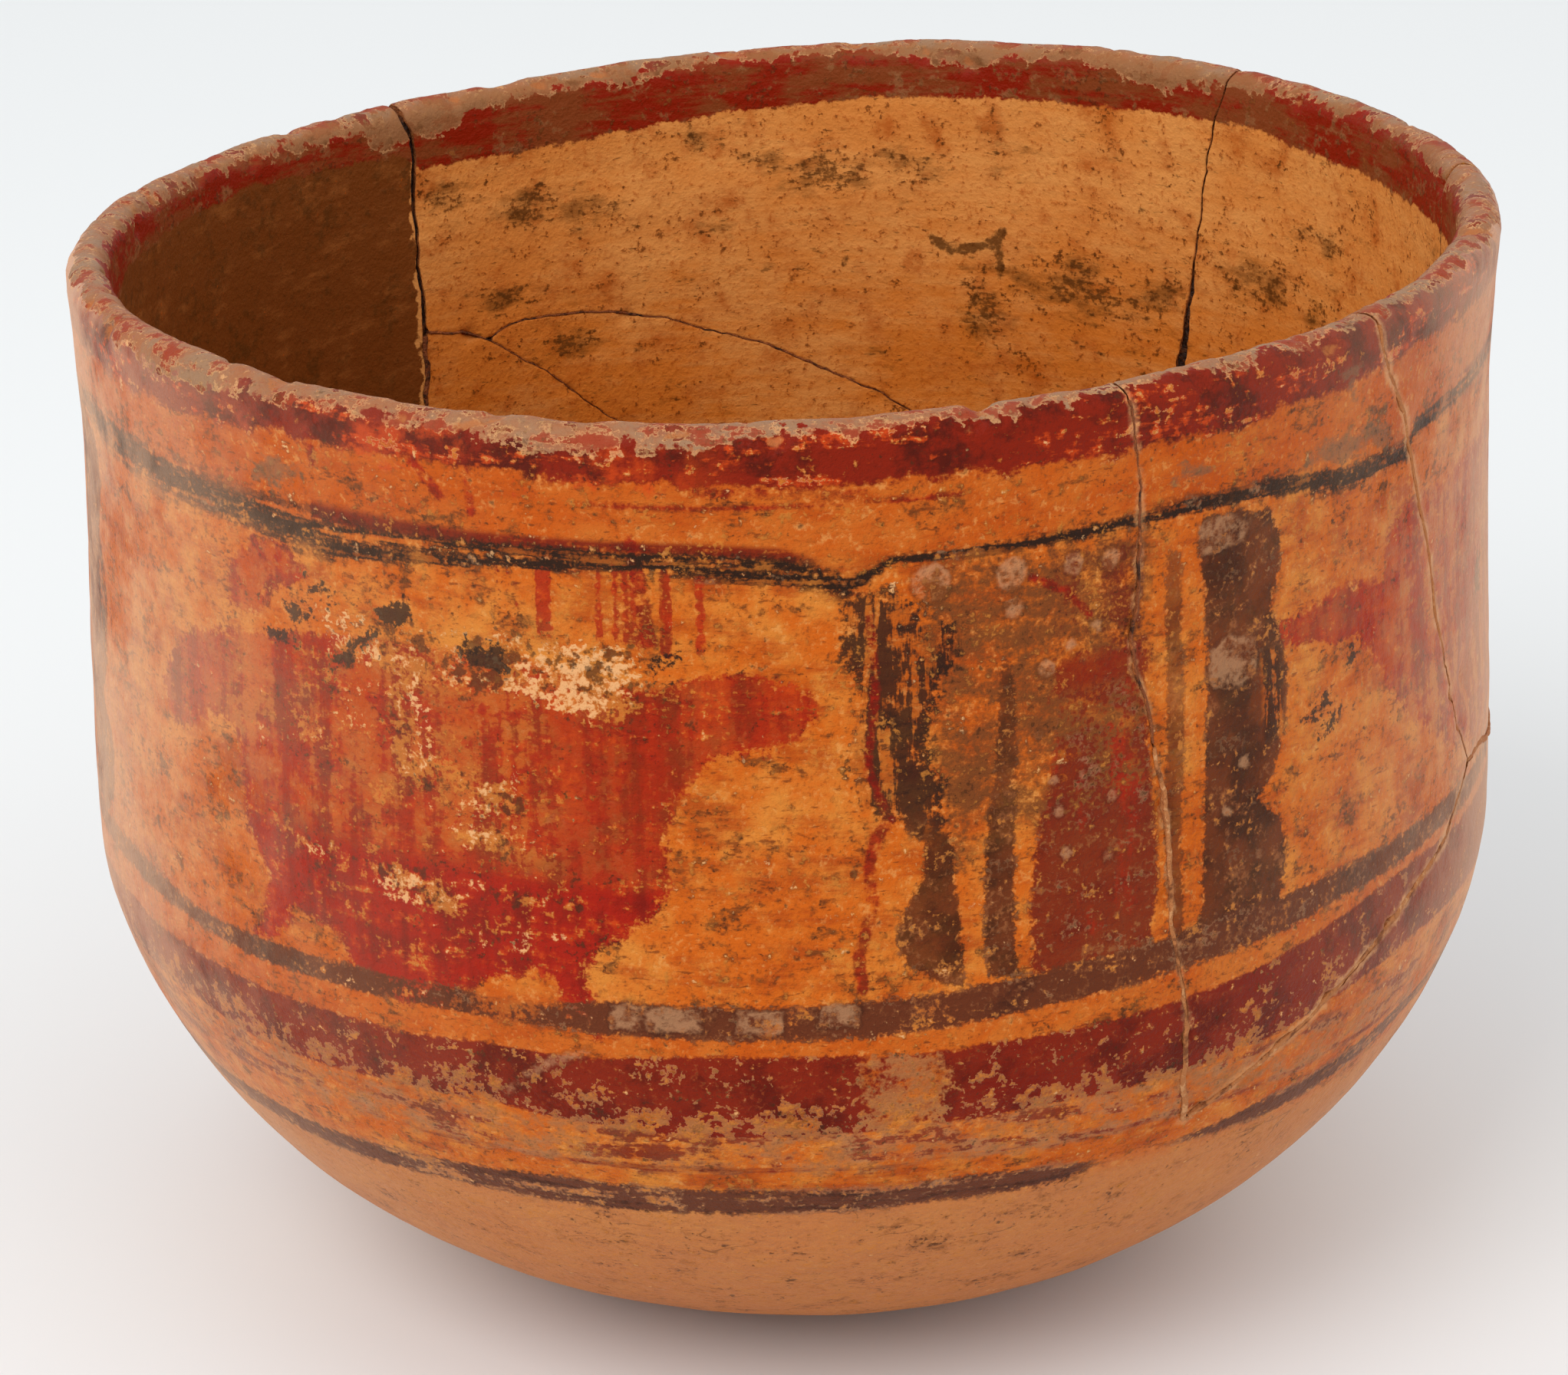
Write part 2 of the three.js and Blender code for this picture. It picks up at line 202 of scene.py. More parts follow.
# Every joint from end to end, and how wide it stands open along its length, in millimetres.
joints = {
    "front": {"open": [0.25, 0.3, 0.45, 0.7], "line": [
        [-65.4, overLip], [-65, 2], [-64.2, 1.89], [-64, 1.71], [-64.8, 1.638], [-63.2, 1.5],
        [-62, 1.35], [-61.6, 1.18], [-60.5, 0.98], [-59.8, 0.85], "frontFoot"]},
    "right": {"open": [0.5, 0.4, 0.35, 0.35], "line": [
        [-39.8, overLip], [-39.6, 2], [-38.5, 1.94], [-35.2, 1.845], [-33.8, 1.757],
        [-31, 1.608], [-28.8, 1.45], [-25.5, 1.258], "rightFoot"]},
    "side": {"open": [0.6, 0.7, 0.6], "line": [
        [5.6, overLip], [5.3, 2], [5, 1.955], [4, 1.72], [5.5, 1.46], [5, 1.286], "sideFoot"]},
    "slantFront": {"open": [0.5, 0.9, 0.9, 0.6], "line": [
        "frontFoot", [-54, 0.83], [-46.5, 0.903], [-37.6, 0.993], [-28, 1.067], "rightFoot"]},
    "slantRight": {"open": [0.7, 0.6], "line": ["rightFoot", [-17, 1.153], [-8, 1.1], "sideFoot"]},
    "slantBack": {"open": [0.5], "line": ["sideFoot", [18, 1.075], [36, 1.015], "slantEnd"]},
    "leftUpper": {"open": [1.1, 0.9, 0.7, 0.9], "line": [
        [129.9, overLip], [129.4, 2], [128.7, 1.967], [128.8, 1.85], [128.3, 1.66],
        "crescentStart"]},
    "leftLower": {"open": [0.9, 0.6, 0.5], "line": [
        "crescentStart", [128, 1.44], [129, 1.19], [124, 0.9], [110, 0.71], [88, 0.64],
        [68, 0.71], "backFoot"]},
    "backUpper": {"open": [0.4, 0.35, 0.3, 0.3, 0.35, 0.9, 1.9, 1.6, 1.2, 1, 0.8], "line": [
        [44.1, overLip], [44.5, 2], [45.5, 1.942], [46.5, 1.82], [48.2, 1.574], [50.5, 1.25],
        "lensEnd"]},
    "backLens": {"open": [0.8, 0.6], "line": ["lensEnd", "slantEnd"]},
    "backMiddle": {"open": [0.6], "line": ["slantEnd", "crescentEnd"]},
    "backLow": {"open": [0.6], "line": ["crescentEnd", "backFoot"]},
    "crescentTop": {"open": [0.4, 0.25], "line": ["crescentStart", [123.2, 1.553], "lensStart"]},
    "crescentLow": {"open": [0.2], "line": [
        "lensStart", [114.2, 1.433], [109, 1.336], [98, 1.157], [82, 1], [66, 0.9],
        "crescentEnd"]},
    "lens": {"open": [0.25, 0.3, 0.2], "line": [
        "lensStart", [118.7, 1.557], [111.5, 1.553], [101.8, 1.514], [90.5, 1.424], [78, 1.297],
        [66, 1.17], "lensEnd"]},
}

# Each sherd's edge, anticlockwise on the map: its stretch of rim, then its joints in turn, with a
# minus for a joint that is followed from its far end.
sherds = {
    "base_and_left_wall_sherd": {"rim": [129.9, 294.6], "edge": "front slantFront slantRight "
                                 "slantBack backMiddle backLow -leftLower -leftUpper",
                                 "front": 0.92, "rest": 1.75, "inside": 2.3},
    "front_right_sherd": {"rim": [-65.4, -39.8], "edge": "right -slantFront -front",
                          "front": 0.9, "rest": 0.9, "inside": 1.6},
    "right_sherd": {"rim": [-39.8, 5.6], "edge": "side -slantRight -right",
                    "front": 0.95, "rest": 1.2, "inside": 1.6},
    "back_right_sherd": {"rim": [5.6, 44.1], "edge": "backUpper backLens -slantBack -side",
                         "front": 1.3, "rest": 1.3, "inside": 1.4},
    "back_sherd": {"rim": [44.1, 129.9], "edge": "leftUpper crescentTop lens -backUpper",
                   "front": 1.3, "rest": 1.3, "inside": 1.3},
    "back_lens_sherd": {"edge": "crescentLow -backMiddle -backLens -lens",
                        "front": 1.3, "rest": 1.3, "inside": 1.3},
    "back_crescent_sherd": {"edge": "leftLower -backLow -crescentLow -crescentTop",
                            "front": 1.4, "rest": 1.4, "inside": 1.4},
}
edgeStep = 0.8                       # millimetres between points along a broken edge and the lip
edgeRows = [0.15, 0.42, 0.85, 1.5]   # rows of points beside a broken edge, for its worn corner
breakRows = 5                        # rows of points across the thickness of a break
lipBand = 7                          # millimetres of wall beside the lip with fine spacing
sharpFrom = 52                       # degrees between faces from which their edge stays sharp
# The painted front has a spacing of its own: its headings, and the share up the wall it starts at.
paintedFront = {"from": -172, "to": 12, "above": 0.62}
# How far a joint wanders and how rough a break is, in layers of millimetres high by millimetres
# across, and how deep the break is sunk.
jointWander = [[0.55, 9], [0.3, 3.1], [0.2, 1.3]]
breakRough = [[0.22, 2.6], [0.12, 1.1]]
breakSunk = 0.05


def layered(points, layers, seed):
    # The sum of a few layers of noise, each with a seed one further on.
    return sum(high * noise(points, across, seed + k) for k, (high, across) in enumerate(layers))


def jointLine(spec):
    # A joint's centre line on the map in short steps: straight between its places, softened, and
    # wandering a little as a break in clay does, but not at its ends, where it meets others.
    places = np.array([meets[p] if isinstance(p, str) else p for p in spec["line"]], float)
    turn, along = np.radians(places[:, 0]), alongAt(places[:, 1])
    points = onWall(turn, along)
    run = np.concatenate([[0], np.cumsum(np.linalg.norm(np.diff(points, axis=0), axis=1))])
    steps = np.linspace(0, run[-1], max(int(run[-1] / edgeStep), 4) + 1)
    line = toChart(np.interp(steps, run, turn), np.interp(steps, run, along))
    for _ in range(5):
        line[1:-1] = line[1:-1] / 2 + (line[:-2] + line[2:]) / 4
    solid = onWall(*fromChart(line))
    wander = layered(solid, jointWander, 1)
    fromEnd = np.minimum(steps, run[-1] - steps)
    line = line + sideways(line) * (wander * smooth(fromEnd, 0, 4) * chartScale(line))[:, None]
    opening = np.interp(steps / run[-1], np.linspace(0, 1, len(spec["open"])), spec["open"])
    return line, opening / 2 * (1 + 0.35 * noise(solid, 2.4, 4) * smooth(fromEnd, 0, 2))


def sideways(line):
    # The direction square to a line on the map, to its left.
    ahead = np.gradient(line, axis=0)
    return np.stack([-ahead[:, 1], ahead[:, 0]], -1) / np.linalg.norm(ahead, axis=1)[:, None]


def squaresTo(points, start, end):
    # The square of each point's distance from each stretch of a line on a flat map.
    step = end - start
    gap = points[:, None] - start
    share = np.clip((gap * step).sum(2) / np.maximum((step ** 2).sum(1), 1e-12), 0, 1)
    return ((gap - share[..., None] * step) ** 2).sum(2)


def liesWithin(points, start, end):
    # Whether each point lies within a loop, by counting the stretches on one side of it.
    run, rise = (end - start).T
    level = points[:, 1, None]
    crosses = (level >= start[:, 1]) != (level >= end[:, 1])
    reach = start[:, 0] + (level - start[:, 1]) / np.where(rise == 0, 1, rise) * run
    return (crosses & (points[:, 0, None] < reach)).sum(1) % 2 == 1


def distanceTo(points, loop, closed=True, used=None):
    # Each point's distance in millimetres from the nearest stretch of a line on the map, and
    # whether it lies within the loop, worked out for a few thousand points at a time.
    start, end = (loop, np.roll(loop, -1, 0)) if closed else (loop[:-1], loop[1:])
    near, within = np.empty(len(points)), np.zeros(len(points), bool)
    for first in range(0, len(points), 3000):
        part = slice(first, first + 3000)
        apart = squaresTo(points[part], start, end)
        if used is not None:
            apart = np.where(used, apart, np.inf)
        near[part] = np.sqrt(apart.min(1))
        within[part] = liesWithin(points[part], start, end)
    return near / chartScale(points), within


lines = {name: jointLine(spec) for name, spec in joints.items()}
print("joints drawn,", len(lines))


def edgeOf(sherd):
    # The sherd's edge on the map: each joint's line moved in by half the joint's opening, without
    # the points that lie in a neighbouring joint's opening, and the rim's stretch of circle.
    runs = []
    names = sherd["edge"].split()
    for name in names:
        line, half = lines[name.strip("-")]
        if name[0] == "-":
            line, half = line[::-1], half[::-1]
        runs.append((line, half, sideways(line)))
    loop, inward, rows = [], [], []
    for i, (line, half, left) in enumerate(runs):
        others = [runs[k][:2] for k in range(len(runs)) if k != i]
        moved = line + left * (half * chartScale(line))[:, None]
        keep = np.ones(len(line), bool)
        for other, otherHalf in others:
            keep &= distanceTo(moved, other, closed=False)[0] > np.median(otherHalf) * 0.93
        if "rim" in sherd and i in (0, len(runs) - 1):
            end = 0 if i == 0 else -1
            moved[end] *= spreadTop / np.linalg.norm(moved[end])
            keep[end] = True
        loop.append(moved[keep])
        inward.append(left[keep])
        rows += [moved + left * (step * chartScale(line))[:, None] for step in edgeRows]
    jointCount = sum(len(run) for run in loop)
    if "rim" in sherd:
        first, last = loop[0][0], loop[-1][-1]
        begin, finish = math.atan2(last[1], last[0]), math.atan2(first[1], first[0])
        sweep = (finish - begin) % (2 * math.pi)
        count = int(sweep * at("radius", alongTop) / edgeStep)
        turn = begin + sweep * np.arange(1, count) / count
        loop.append(spreadTop * np.stack([np.cos(turn), np.sin(turn)], -1))
        inward.append(-loop[-1] / spreadTop)
    return np.concatenate(loop), np.concatenate(inward), jointCount, np.concatenate(rows)


def rowsOfPoints(spacing):
    # Points over the whole wall in rows round it, each row half a step on from the last.
    turns, alongs = [], []
    levels = np.arange(spacing / 2, alongTop - spacing * 0.45, spacing * 0.866)
    for k, (level, radius) in enumerate(zip(levels, at("radius", levels))):
        count = max(int(2 * np.pi * radius / spacing), 6)
        turns.append((np.arange(count) + 0.5 * (k % 2)) / count * 2 * np.pi - np.pi)
        alongs.append(np.full(count, level))
    return np.concatenate(turns), np.concatenate(alongs)


def pointsWithin(sherd, coarseEdge, jointSegments, inner):
    # The inner points of a sherd's face: fine by the lip and on the painted front, wider elsewhere.
    front = paintedFront
    spacings = ["inside"] if inner else ["front", "rest"]
    kept = []
    for spacing in sorted({edgeStep, *(sherd[k] for k in spacings)}):
        turn, along = rowsOfPoints(spacing)
        heading = np.degrees(turn)
        atFront = (heading > front["from"]) & (heading < front["to"])
        atFront &= along > alongAt(front["above"])
        wanted = np.where(atFront, sherd["front"], sherd["rest"]) if not inner else (
            np.full(len(turn), sherd["inside"]))
        wanted = np.where(along > alongTop - lipBand, edgeStep, wanted)
        here = np.abs(wanted - spacing) < 1e-9
        points = toChart(turn[here], along[here])
        near, within = distanceTo(points, coarseEdge, used=jointSegments)
        kept.append(points[within & (near > edgeRows[-1] + spacing * 0.55)])
    return np.concatenate(kept)


def triangulate(edge, points):
    # Triangles between the edge's points and the ones within it, all turned the same way round.
    count = len(edge)
    corners = [Vector(p) for p in np.concatenate([edge, points]).tolist()]
    ring = [(i, (i + 1) % count) for i in range(count)]
    made = delaunay_2d_cdt(corners, ring, [list(range(count))], 1, 1e-7)
    placed = np.array([v[:] for v in made[0]])
    faces = np.array([f for f in made[2] if len(f) == 3])
    a, b, c = (placed[faces[:, k]] for k in range(3))
    area = (b[:, 0] - a[:, 0]) * (c[:, 1] - a[:, 1]) - (b[:, 1] - a[:, 1]) * (c[:, 0] - a[:, 0])
    faces[area < 0] = faces[area < 0][:, ::-1]
    return placed, faces


# How uneven the hand-made wall is, in millimetres high by millimetres across.
surfaceWear = {"wave": (0.5, 30), "ripple": (0.2, 12), "strokes": (0.06, 9), "grain": (0.035, 2.4),
               "lipWear": (0.55, 6), "lipGrain": (0.22, 2.1), "lipChip": (2.6, 5.2),
               "chip": (1.2, 4.2), "corner": 0.12}
gouge = {"heading": -22.5, "share": 1.31, "size": 3.2, "depth": 0.8}
gougePlace = onWall(np.array([math.radians(gouge["heading"])]), alongAt(gouge["share"]))


def wearOf(points, fromLip, nearBreak, level):
    # How far each point stands proud of the true wall: broad waves, strokes round the bowl, grain,
    # a worn and chipped lip, and corners lost along the breaks.
    w = surfaceWear

    def bumps(name, seed, stretch=1):
        return w[name][0] * noise(points * stretch, w[name][1], seed)

    lift = bumps("wave", 11) + bumps("ripple", 12)
    lift = lift + bumps("strokes", 13, [0.35, 0.35, 1.6]) + bumps("grain", 14)
    onLip = 1 - smooth(np.abs(fromLip), 3, 8)
    worn = np.abs(bumps("lipWear", 15, [0.6, 0.6, 1])) + np.abs(bumps("lipGrain", 16))
    chips = np.maximum(noise(points, w["lipChip"][1], 17) - 0.3, 0) * w["lipChip"][0]
    lift -= onLip * (worn + chips)
    lost = np.maximum(noise(points, w["chip"][1], 18) + 0.35 * noise(points, 1.5, 19) - 0.22, 0)
    reach = np.clip(1 - nearBreak / 1.9, 0, 1)
    corner = np.clip(w["corner"] - nearBreak, 0, None)
    lift -= w["chip"][0] * lost * reach ** 0.7
    lift -= w["corner"] - np.sqrt(w["corner"] ** 2 - corner ** 2)
    hollow = np.exp(-((points - gougePlace) ** 2).sum(1) / gouge["size"] ** 2)
    lift -= gouge["depth"] * hollow * (fromLip > 0)
    return np.where(level > 0.12, lift, np.minimum(lift, 0) * smooth(level, -0.2, 0.12))


def addMesh(name, points, triangles, slots, attributes=None, slotOf=None):
    # A mesh object at the origin from millimetre points, triangles and per-point values.
    mesh = bpy.data.meshes.new(name)
    mesh.vertices.add(len(points))
    mesh.vertices.foreach_set("co", (np.asarray(points) / 1000).astype(np.float32).ravel())
    mesh.loops.add(triangles.size)
    mesh.loops.foreach_set("vertex_index", triangles.astype(np.int32).ravel())
    mesh.polygons.add(len(triangles))
    mesh.polygons.foreach_set("loop_start", np.arange(0, triangles.size, 3, dtype=np.int32))
    mesh.polygons.foreach_set("use_smooth", np.ones(len(triangles), bool))
    for material in slots:
        mesh.materials.append(material)
    if slotOf is not None:
        mesh.polygons.foreach_set("material_index", slotOf.astype(np.int32))
    for key, values in (attributes or {}).items():
        layer = mesh.attributes.new(key, "FLOAT_VECTOR", "POINT")
        layer.data.foreach_set("vector", values.astype(np.float32).ravel())
    mesh.update(calc_edges=True)
    mesh.validate()
    mesh.set_sharp_from_angle(angle=math.radians(sharpFrom))
    piece = bpy.data.objects.new(name, mesh)
    scene.collection.objects.link(piece)
    return piece


# The painted bands: how high their lower and upper edges run in millimetres, at headings in
# degrees round the bowl.
bands = {
    "rim": {"heading": [-180, -150, -137, -128, -115, -97, -60, -45, -35, 0, 90, 180],
            "low": [152, 151.5, 152.4, 153.2, 153.6, 152.4, 151.6, 151.8, 153, 152.5, 152, 152]},
    "line": {"heading": [-180, -158, -145, -135, -125, -115, -105, -97, -91, -86, -83, -70,
                         -60, -52, -48, -44, -38, -34.5, -33.5, -22, 0, 90, 180],
             "middle": [142, 142.4, 141.8, 141, 139.9, 141.2, 142, 141.7, 140.8, 138.2, 141.2, 141.6,
                        141.9, 141.3, 140.1, 138.9, 138.4, 138.2, 141, 141.6, 141.5, 142, 142],
             "half": [1.2, 2, 2.4, 2.2, 2.5, 1.8, 1.4, 1.5, 1.6, 1.5, 0.55, 0.8, 1, 1.1, 1.3,
                      1.5, 1.5, 1.3, 1.2, 1.1, 1, 1.1, 1.2]},
    "lower": {"heading": [-180, -150, -140, -132, -120, -108, -104, -90, -80, -70, -62, -50,
                          -40, -25, 0, 90, 180],
              "low": [76, 75.8, 74.9, 74.7, 75.2, 75.4, 75.2, 74.8, 75.5, 76.6, 77.4, 78.5, 79,
                      79.6, 79, 77, 76],
              "high": [79.4, 79.2, 77.6, 78.4, 78.6, 78.4, 79.8, 80.1, 80.4, 81.8, 82.7, 83.2,
                       83.2, 83.2, 83, 81, 79.4]},
    "maroon": {"heading": [-180, -150, -135, -120, -114, -107, -98, -88, -79, -65, -58, -50, -45,
                           -40, -34, 0, 90, 180],
               "low": [61, 61, 60.6, 61.5, 62, 61, 59.5, 60, 60.5, 61, 61, 62, 64, 65, 66, 64, 62,
                       61],
               "high": [71, 70.4, 70.3, 70.5, 71.6, 71, 72.5, 72.6, 72.2, 72.5, 73.3, 75, 76.2,
                        77.3, 78, 77, 73, 71]},
    "belt": {"heading": [-180, -150, -130, -120, -110, -85, -70, -66, -59, -50, -40, -25, 0, 90,
                         180],
             "low": [44, 43.5, 43.6, 44.4, 44.4, 45.6, 45.6, 47, 47.2, 46.6, 48, 50.5, 51, 47, 44],
             "high": [48, 47, 47.4, 48.4, 49.8, 50, 49.6, 47.8, 48, 50.3, 51.4, 53.5, 54, 51, 48]},
    "inside": {"heading": [-180, 18, 36, 42, 50, 62, 75, 90, 100, 112, 120, 128, 130, 150, 180],
               "low": [150, 150, 150.5, 152, 151.4, 150.8, 150.9, 150, 149.4, 148, 148.4, 148.6,
                       152, 154, 152]},
}

# The painted shapes as outlines of heading and height. The figures and the panel stand on the
# seen side; out of sight the same ones are taken to go on round the bowl.
figure = {
    "body": [[-135, 122], [-129.7, 124.5], [-124, 127], [-112, 127.5], [-104, 125.5],
             [-99.4, 123.6], [-97.8, 124.9], [-95.9, 126.3], [-93.1, 125.9], [-90, 124.8],
             [-88.5, 122.6], [-88.8, 119.6], [-90.4, 116.8], [-92.3, 115.6], [-95.5, 115.5],
             [-97, 112.6], [-98.6, 109], [-99.6, 104.7], [-99.3, 100.4], [-99.4, 96.1],
             [-100.5, 92.6], [-102.5, 89.7], [-104.6, 87], [-105.8, 83.6], [-104.9, 79],
             [-104.5, 74.8], [-106.4, 76.9], [-107.3, 80.5], [-108.7, 83.4], [-111, 82.4],
             [-113.8, 80.2], [-116.1, 78], [-117.3, 75.8], [-120.4, 75.6], [-122.7, 77.2],
             [-124.7, 79], [-125.5, 83.4], [-129, 84.6], [-130.1, 84.6], [-130.9, 81.6],
             [-132.5, 78.6], [-135.2, 77.4], [-133.6, 80], [-132.7, 84], [-132.3, 88.4],
             [-133.2, 91.5], [-134.4, 94.4], [-134.6, 98.3], [-134.9, 104], [-135.6, 108]],
    "lobe": [[-134.6, 122.6], [-137.1, 121.6], [-139.9, 120.2], [-142.2, 117.9], [-144.2, 114.7],
             [-145.6, 110.4], [-145.3, 107], [-143.6, 105.2], [-141.4, 105.8], [-139.5, 108.2],
             [-137.5, 109.8], [-135, 108.6]],
    "smudge": [[-135.4, 127], [-135, 133], [-132.6, 136.6], [-129.4, 137.4], [-127.6, 134],
               [-129.2, 131.5], [-131.8, 131], [-132.4, 126.5]],
}
secondFigure = {
    "arm": [[-50.9, 121.4], [-47.1, 122.6], [-44.8, 123.4], [-41.7, 123], [-38.4, 121.9],
            [-37.6, 126.6], [-36.4, 129.2], [-33.8, 130.6], [-28, 130], [-14, 131], [-3, 128],
            [5, 118], [7, 104], [4, 94], [-4, 88], [-16, 86.8], [-26, 90.2], [-29.2, 94],
            [-32.7, 97.6], [-35.5, 102.4], [-38.2, 107.6], [-39.9, 112.2], [-41.7, 115.3],
            [-44.8, 116.3], [-47.1, 117.7], [-50.4, 118.7]],
}
panel = {
    "barOne": [[-85.2, 137.4], [-86.1, 135.6], [-86.4, 130.4], [-86.2, 127.4], [-84.9, 124.7],
               [-85.3, 119.4], [-86, 113.3], [-85.4, 108], [-83.6, 105.6], [-82, 104],
               [-80.6, 101.6], [-79.4, 104.6], [-79.6, 109.7], [-80.7, 113.3], [-80.5, 119],
               [-79.4, 124.7], [-78.1, 126.9], [-78.3, 130.8], [-80.8, 133.6], [-82.4, 136.4]],
    "barOneFoot": [[-80.5, 103], [-81, 97], [-82.5, 92.5], [-83, 88.4], [-82.3, 84.8],
                   [-80.2, 82], [-78.2, 81], [-78.4, 92], [-78.9, 103]],
    "barTwo": [[-76.4, 81.4], [-76.5, 94], [-76, 104], [-75.4, 112], [-75.1, 126], [-74.3, 126],
               [-73.9, 112], [-74.2, 102], [-74.2, 81.6]],
    "barThree": [[-61.8, 82], [-61.9, 104], [-61.5, 118], [-61.6, 136], [-60.3, 136],
                 [-60.2, 118], [-60.5, 98], [-60.6, 82]],
    "barFour": [[-58.8, 139.6], [-58.7, 135], [-58.2, 130.4], [-57.9, 123.3], [-58, 116.1],
                [-58.2, 108], [-58.4, 98.3], [-58.7, 91], [-59, 84.7], [-60, 79.6], [-54, 79],
                [-51.4, 82.4], [-50.9, 87.6], [-50.6, 91.5], [-51.1, 94.7], [-52.5, 96.8],
                [-53.4, 98.4], [-52, 100.6], [-51, 104.7], [-50.4, 109], [-50.2, 114.7],
                [-50.6, 118.4], [-51.2, 121.9], [-51.8, 124.4], [-51, 128], [-50.6, 131.1],
                [-50.9, 135], [-51.7, 138], [-53.6, 139], [-56, 139.8]],
    "barFourEdge": [[-52.8, 119.4], [-50.9, 119], [-50.6, 106], [-52.6, 106]],
    "field": [[-73, 81], [-73, 92], [-72.5, 99.6], [-71.5, 108], [-70.6, 118], [-70.5, 124.8],
              [-63.6, 124.6], [-63.1, 112], [-62.9, 99.5], [-62.7, 90], [-63.6, 82]],
    "fieldTop": [[-70.4, 124], [-70.8, 138.6], [-63.9, 138.8], [-63.8, 124]],
    "barPatch": [[-58.9, 139.2], [-56, 139.8], [-53.9, 137.4], [-54.4, 134.9], [-58.6, 134.4]],
    "barLight": [[-57.9, 121.4], [-56, 122.6], [-53.4, 121.4], [-53.2, 117], [-54.6, 115],
                 [-57.4, 115.6]],
}
panelDots = [[-80.2, 137.7, 2.7], [-74.2, 137.5, 2.3], [-74, 132.8, 1.4], [-66.2, 137.3, 1.6],
             [-69.4, 137.5, 1.5], [-69.6, 126.4, 1.1], [-71.5, 123.8, 1.2], [-64, 137.2, 1.1],
             [-67.4, 128.3, 0.8], [-71, 108, 0.9], [-68.8, 108.2, 0.8], [-70.8, 103.8, 0.9],
             [-66.4, 104.4, 0.8], [-70.2, 97.6, 0.8], [-66.8, 96, 0.7], [-72.2, 115, 0.8],
             [-54.6, 104.4, 1], [-56.4, 98, 0.9], [-53.4, 90.4, 0.8]]
# The panel's bars: how solid each is above and below its middle, and how scribbled above it.
panelBars = [["barOne", 0.9, 0.9, 1], ["barOneFoot", 0.7, 0.9, 0], ["barTwo", 0.7, 0.95, 0],
             ["barThree", 0.65, 0.7, 0], ["barFour", 0.92, 0.95, 0]]
panelTurns = [0, -108, 96, 196]    # the panel again round the back, degrees further on
figureTurns = [0, 196]

strokes = [[[-111, 140.6], [-96, 141], [-96, 130.4], [-99, 129], [-104, 131.4], [-110.6, 130.6]]]
wash = [[[-80, 139], [-64, 139], [-63.4, 100], [-71, 102], [-73.4, 105], [-77, 104], [-79, 98]]]
# Thin red lines and drips: half their width, and the places they run through.
thinRed = [[0.75, [[-83.4, 105.6], [-84.4, 103], [-84.9, 99], [-84.7, 94], [-85.2, 90],
                   [-85.8, 87], [-85.5, 82]]],
           [0.5, [[-84.6, 134], [-84.2, 124], [-84.9, 113], [-83.4, 105.6]]],
           [0.9, [[-101.2, 144.6], [-100.6, 137], [-100.2, 131]]],
           [0.7, [[-117.8, 154], [-115.2, 149]]], [0.5, [[-113, 152.6], [-112.8, 147]]],
           [0.6, [[-126.2, 154.6], [-126, 150]]], [0.4, [[-97, 151.3], [-91, 151.4], [-85, 151]]],
           [0.5, [[-72.6, 136.4], [-70, 134], [-68, 130]]],
           [0.6, [[-132.6, 137], [-131, 133], [-131.6, 128]]],
           [0.35, [[-104, 149.6], [-96, 149.2], [-86, 149.8], [-78, 149.4]]]]

# Bare gaps in the bands: from and to which heading and height, and how bare. Dust and a painted
# sheen pale the flanks: its middle, its spread in degrees, and how thick it lies. Filler is smeared
# beside some joints, this many millimetres to each side.
wornGaps = [[-86, -79.3, 58, 74, 0.8], [-122, -107, 73, 81, 0.9], [-66, -59, 44, 52, 1],
            [-150, -136, 58, 64, 0.5], [-130, -118, 58, 62, 0.6], [-74, -60, 58, 63, 0.6]]
flankDustAndSheen = [[-170, 30, 0.7], [-4, 27, 0.75], [128, 60, 0.25]]
smeared = {"front": 0.9, "slantFront": 1.7, "right": 1.5, "slantRight": 1.3}
lowerPatches = [[[-103.6, 76.2], [-101.8, 76.4], [-101.8, 79.4], [-103.5, 79.1]],
                [[-101, 76.4], [-97.3, 76.4], [-97.4, 79.4], [-101, 79.2]],
                [[-94.6, 76.4], [-91.4, 76.2], [-91.4, 79.4], [-94.4, 79.2]],
                [[-88.6, 77], [-86, 77], [-86, 79.6], [-88.4, 79.6]]]
scratches = [[0.55, [[-112.2, 63.8], [-110.6, 67.2], [-108.4, 70], [-105.6, 72.2]]]]
# How far the lip's crust reaches down each face, in millimetres at headings, and grey smears.
crust = {"heading": [-180, -152, -143, -136, -126, -115, -107, -100, -92, -85, -60, -41, 0, 20, 36,
                     46, 54, 62, 72, 80, 92, 100, 106, 112, 118, 124, 130, 142, 165, 180],
         "outside": [2.5, 3, 5.5, 4.5, 3.5, 3, 5, 4.2, 3, 2, 1.4, 2, 2.5, 2, 2, 2, 2, 2, 2, 2, 2, 2,
                     2, 2, 2, 2, 2, 2, 2.5, 2.5],
         "inside": [3, 3, 3, 3, 3, 3, 3, 3, 3, 3, 3, 3, 3, 3, 2.5, 5, 6, 2.5, 5.5, 2.5, 2.2, 3, 5, 3,
                    4.5, 7, 7.5, 3, 3, 3]}
greyed = [[[-132.4, 145.6], [-128, 146.4], [-127, 150], [-130.6, 150.4]],
          [[-48, 142], [-42, 141], [-36.4, 140.6], [-37, 143], [-43, 145], [-47, 145.6]],
          [[-43.6, 148.6], [-42.2, 148.8], [-42.4, 154], [-43.8, 153.6]],
          [[-61.6, 145], [-57.6, 145.2], [-58, 148.6], [-61, 148.8]]]

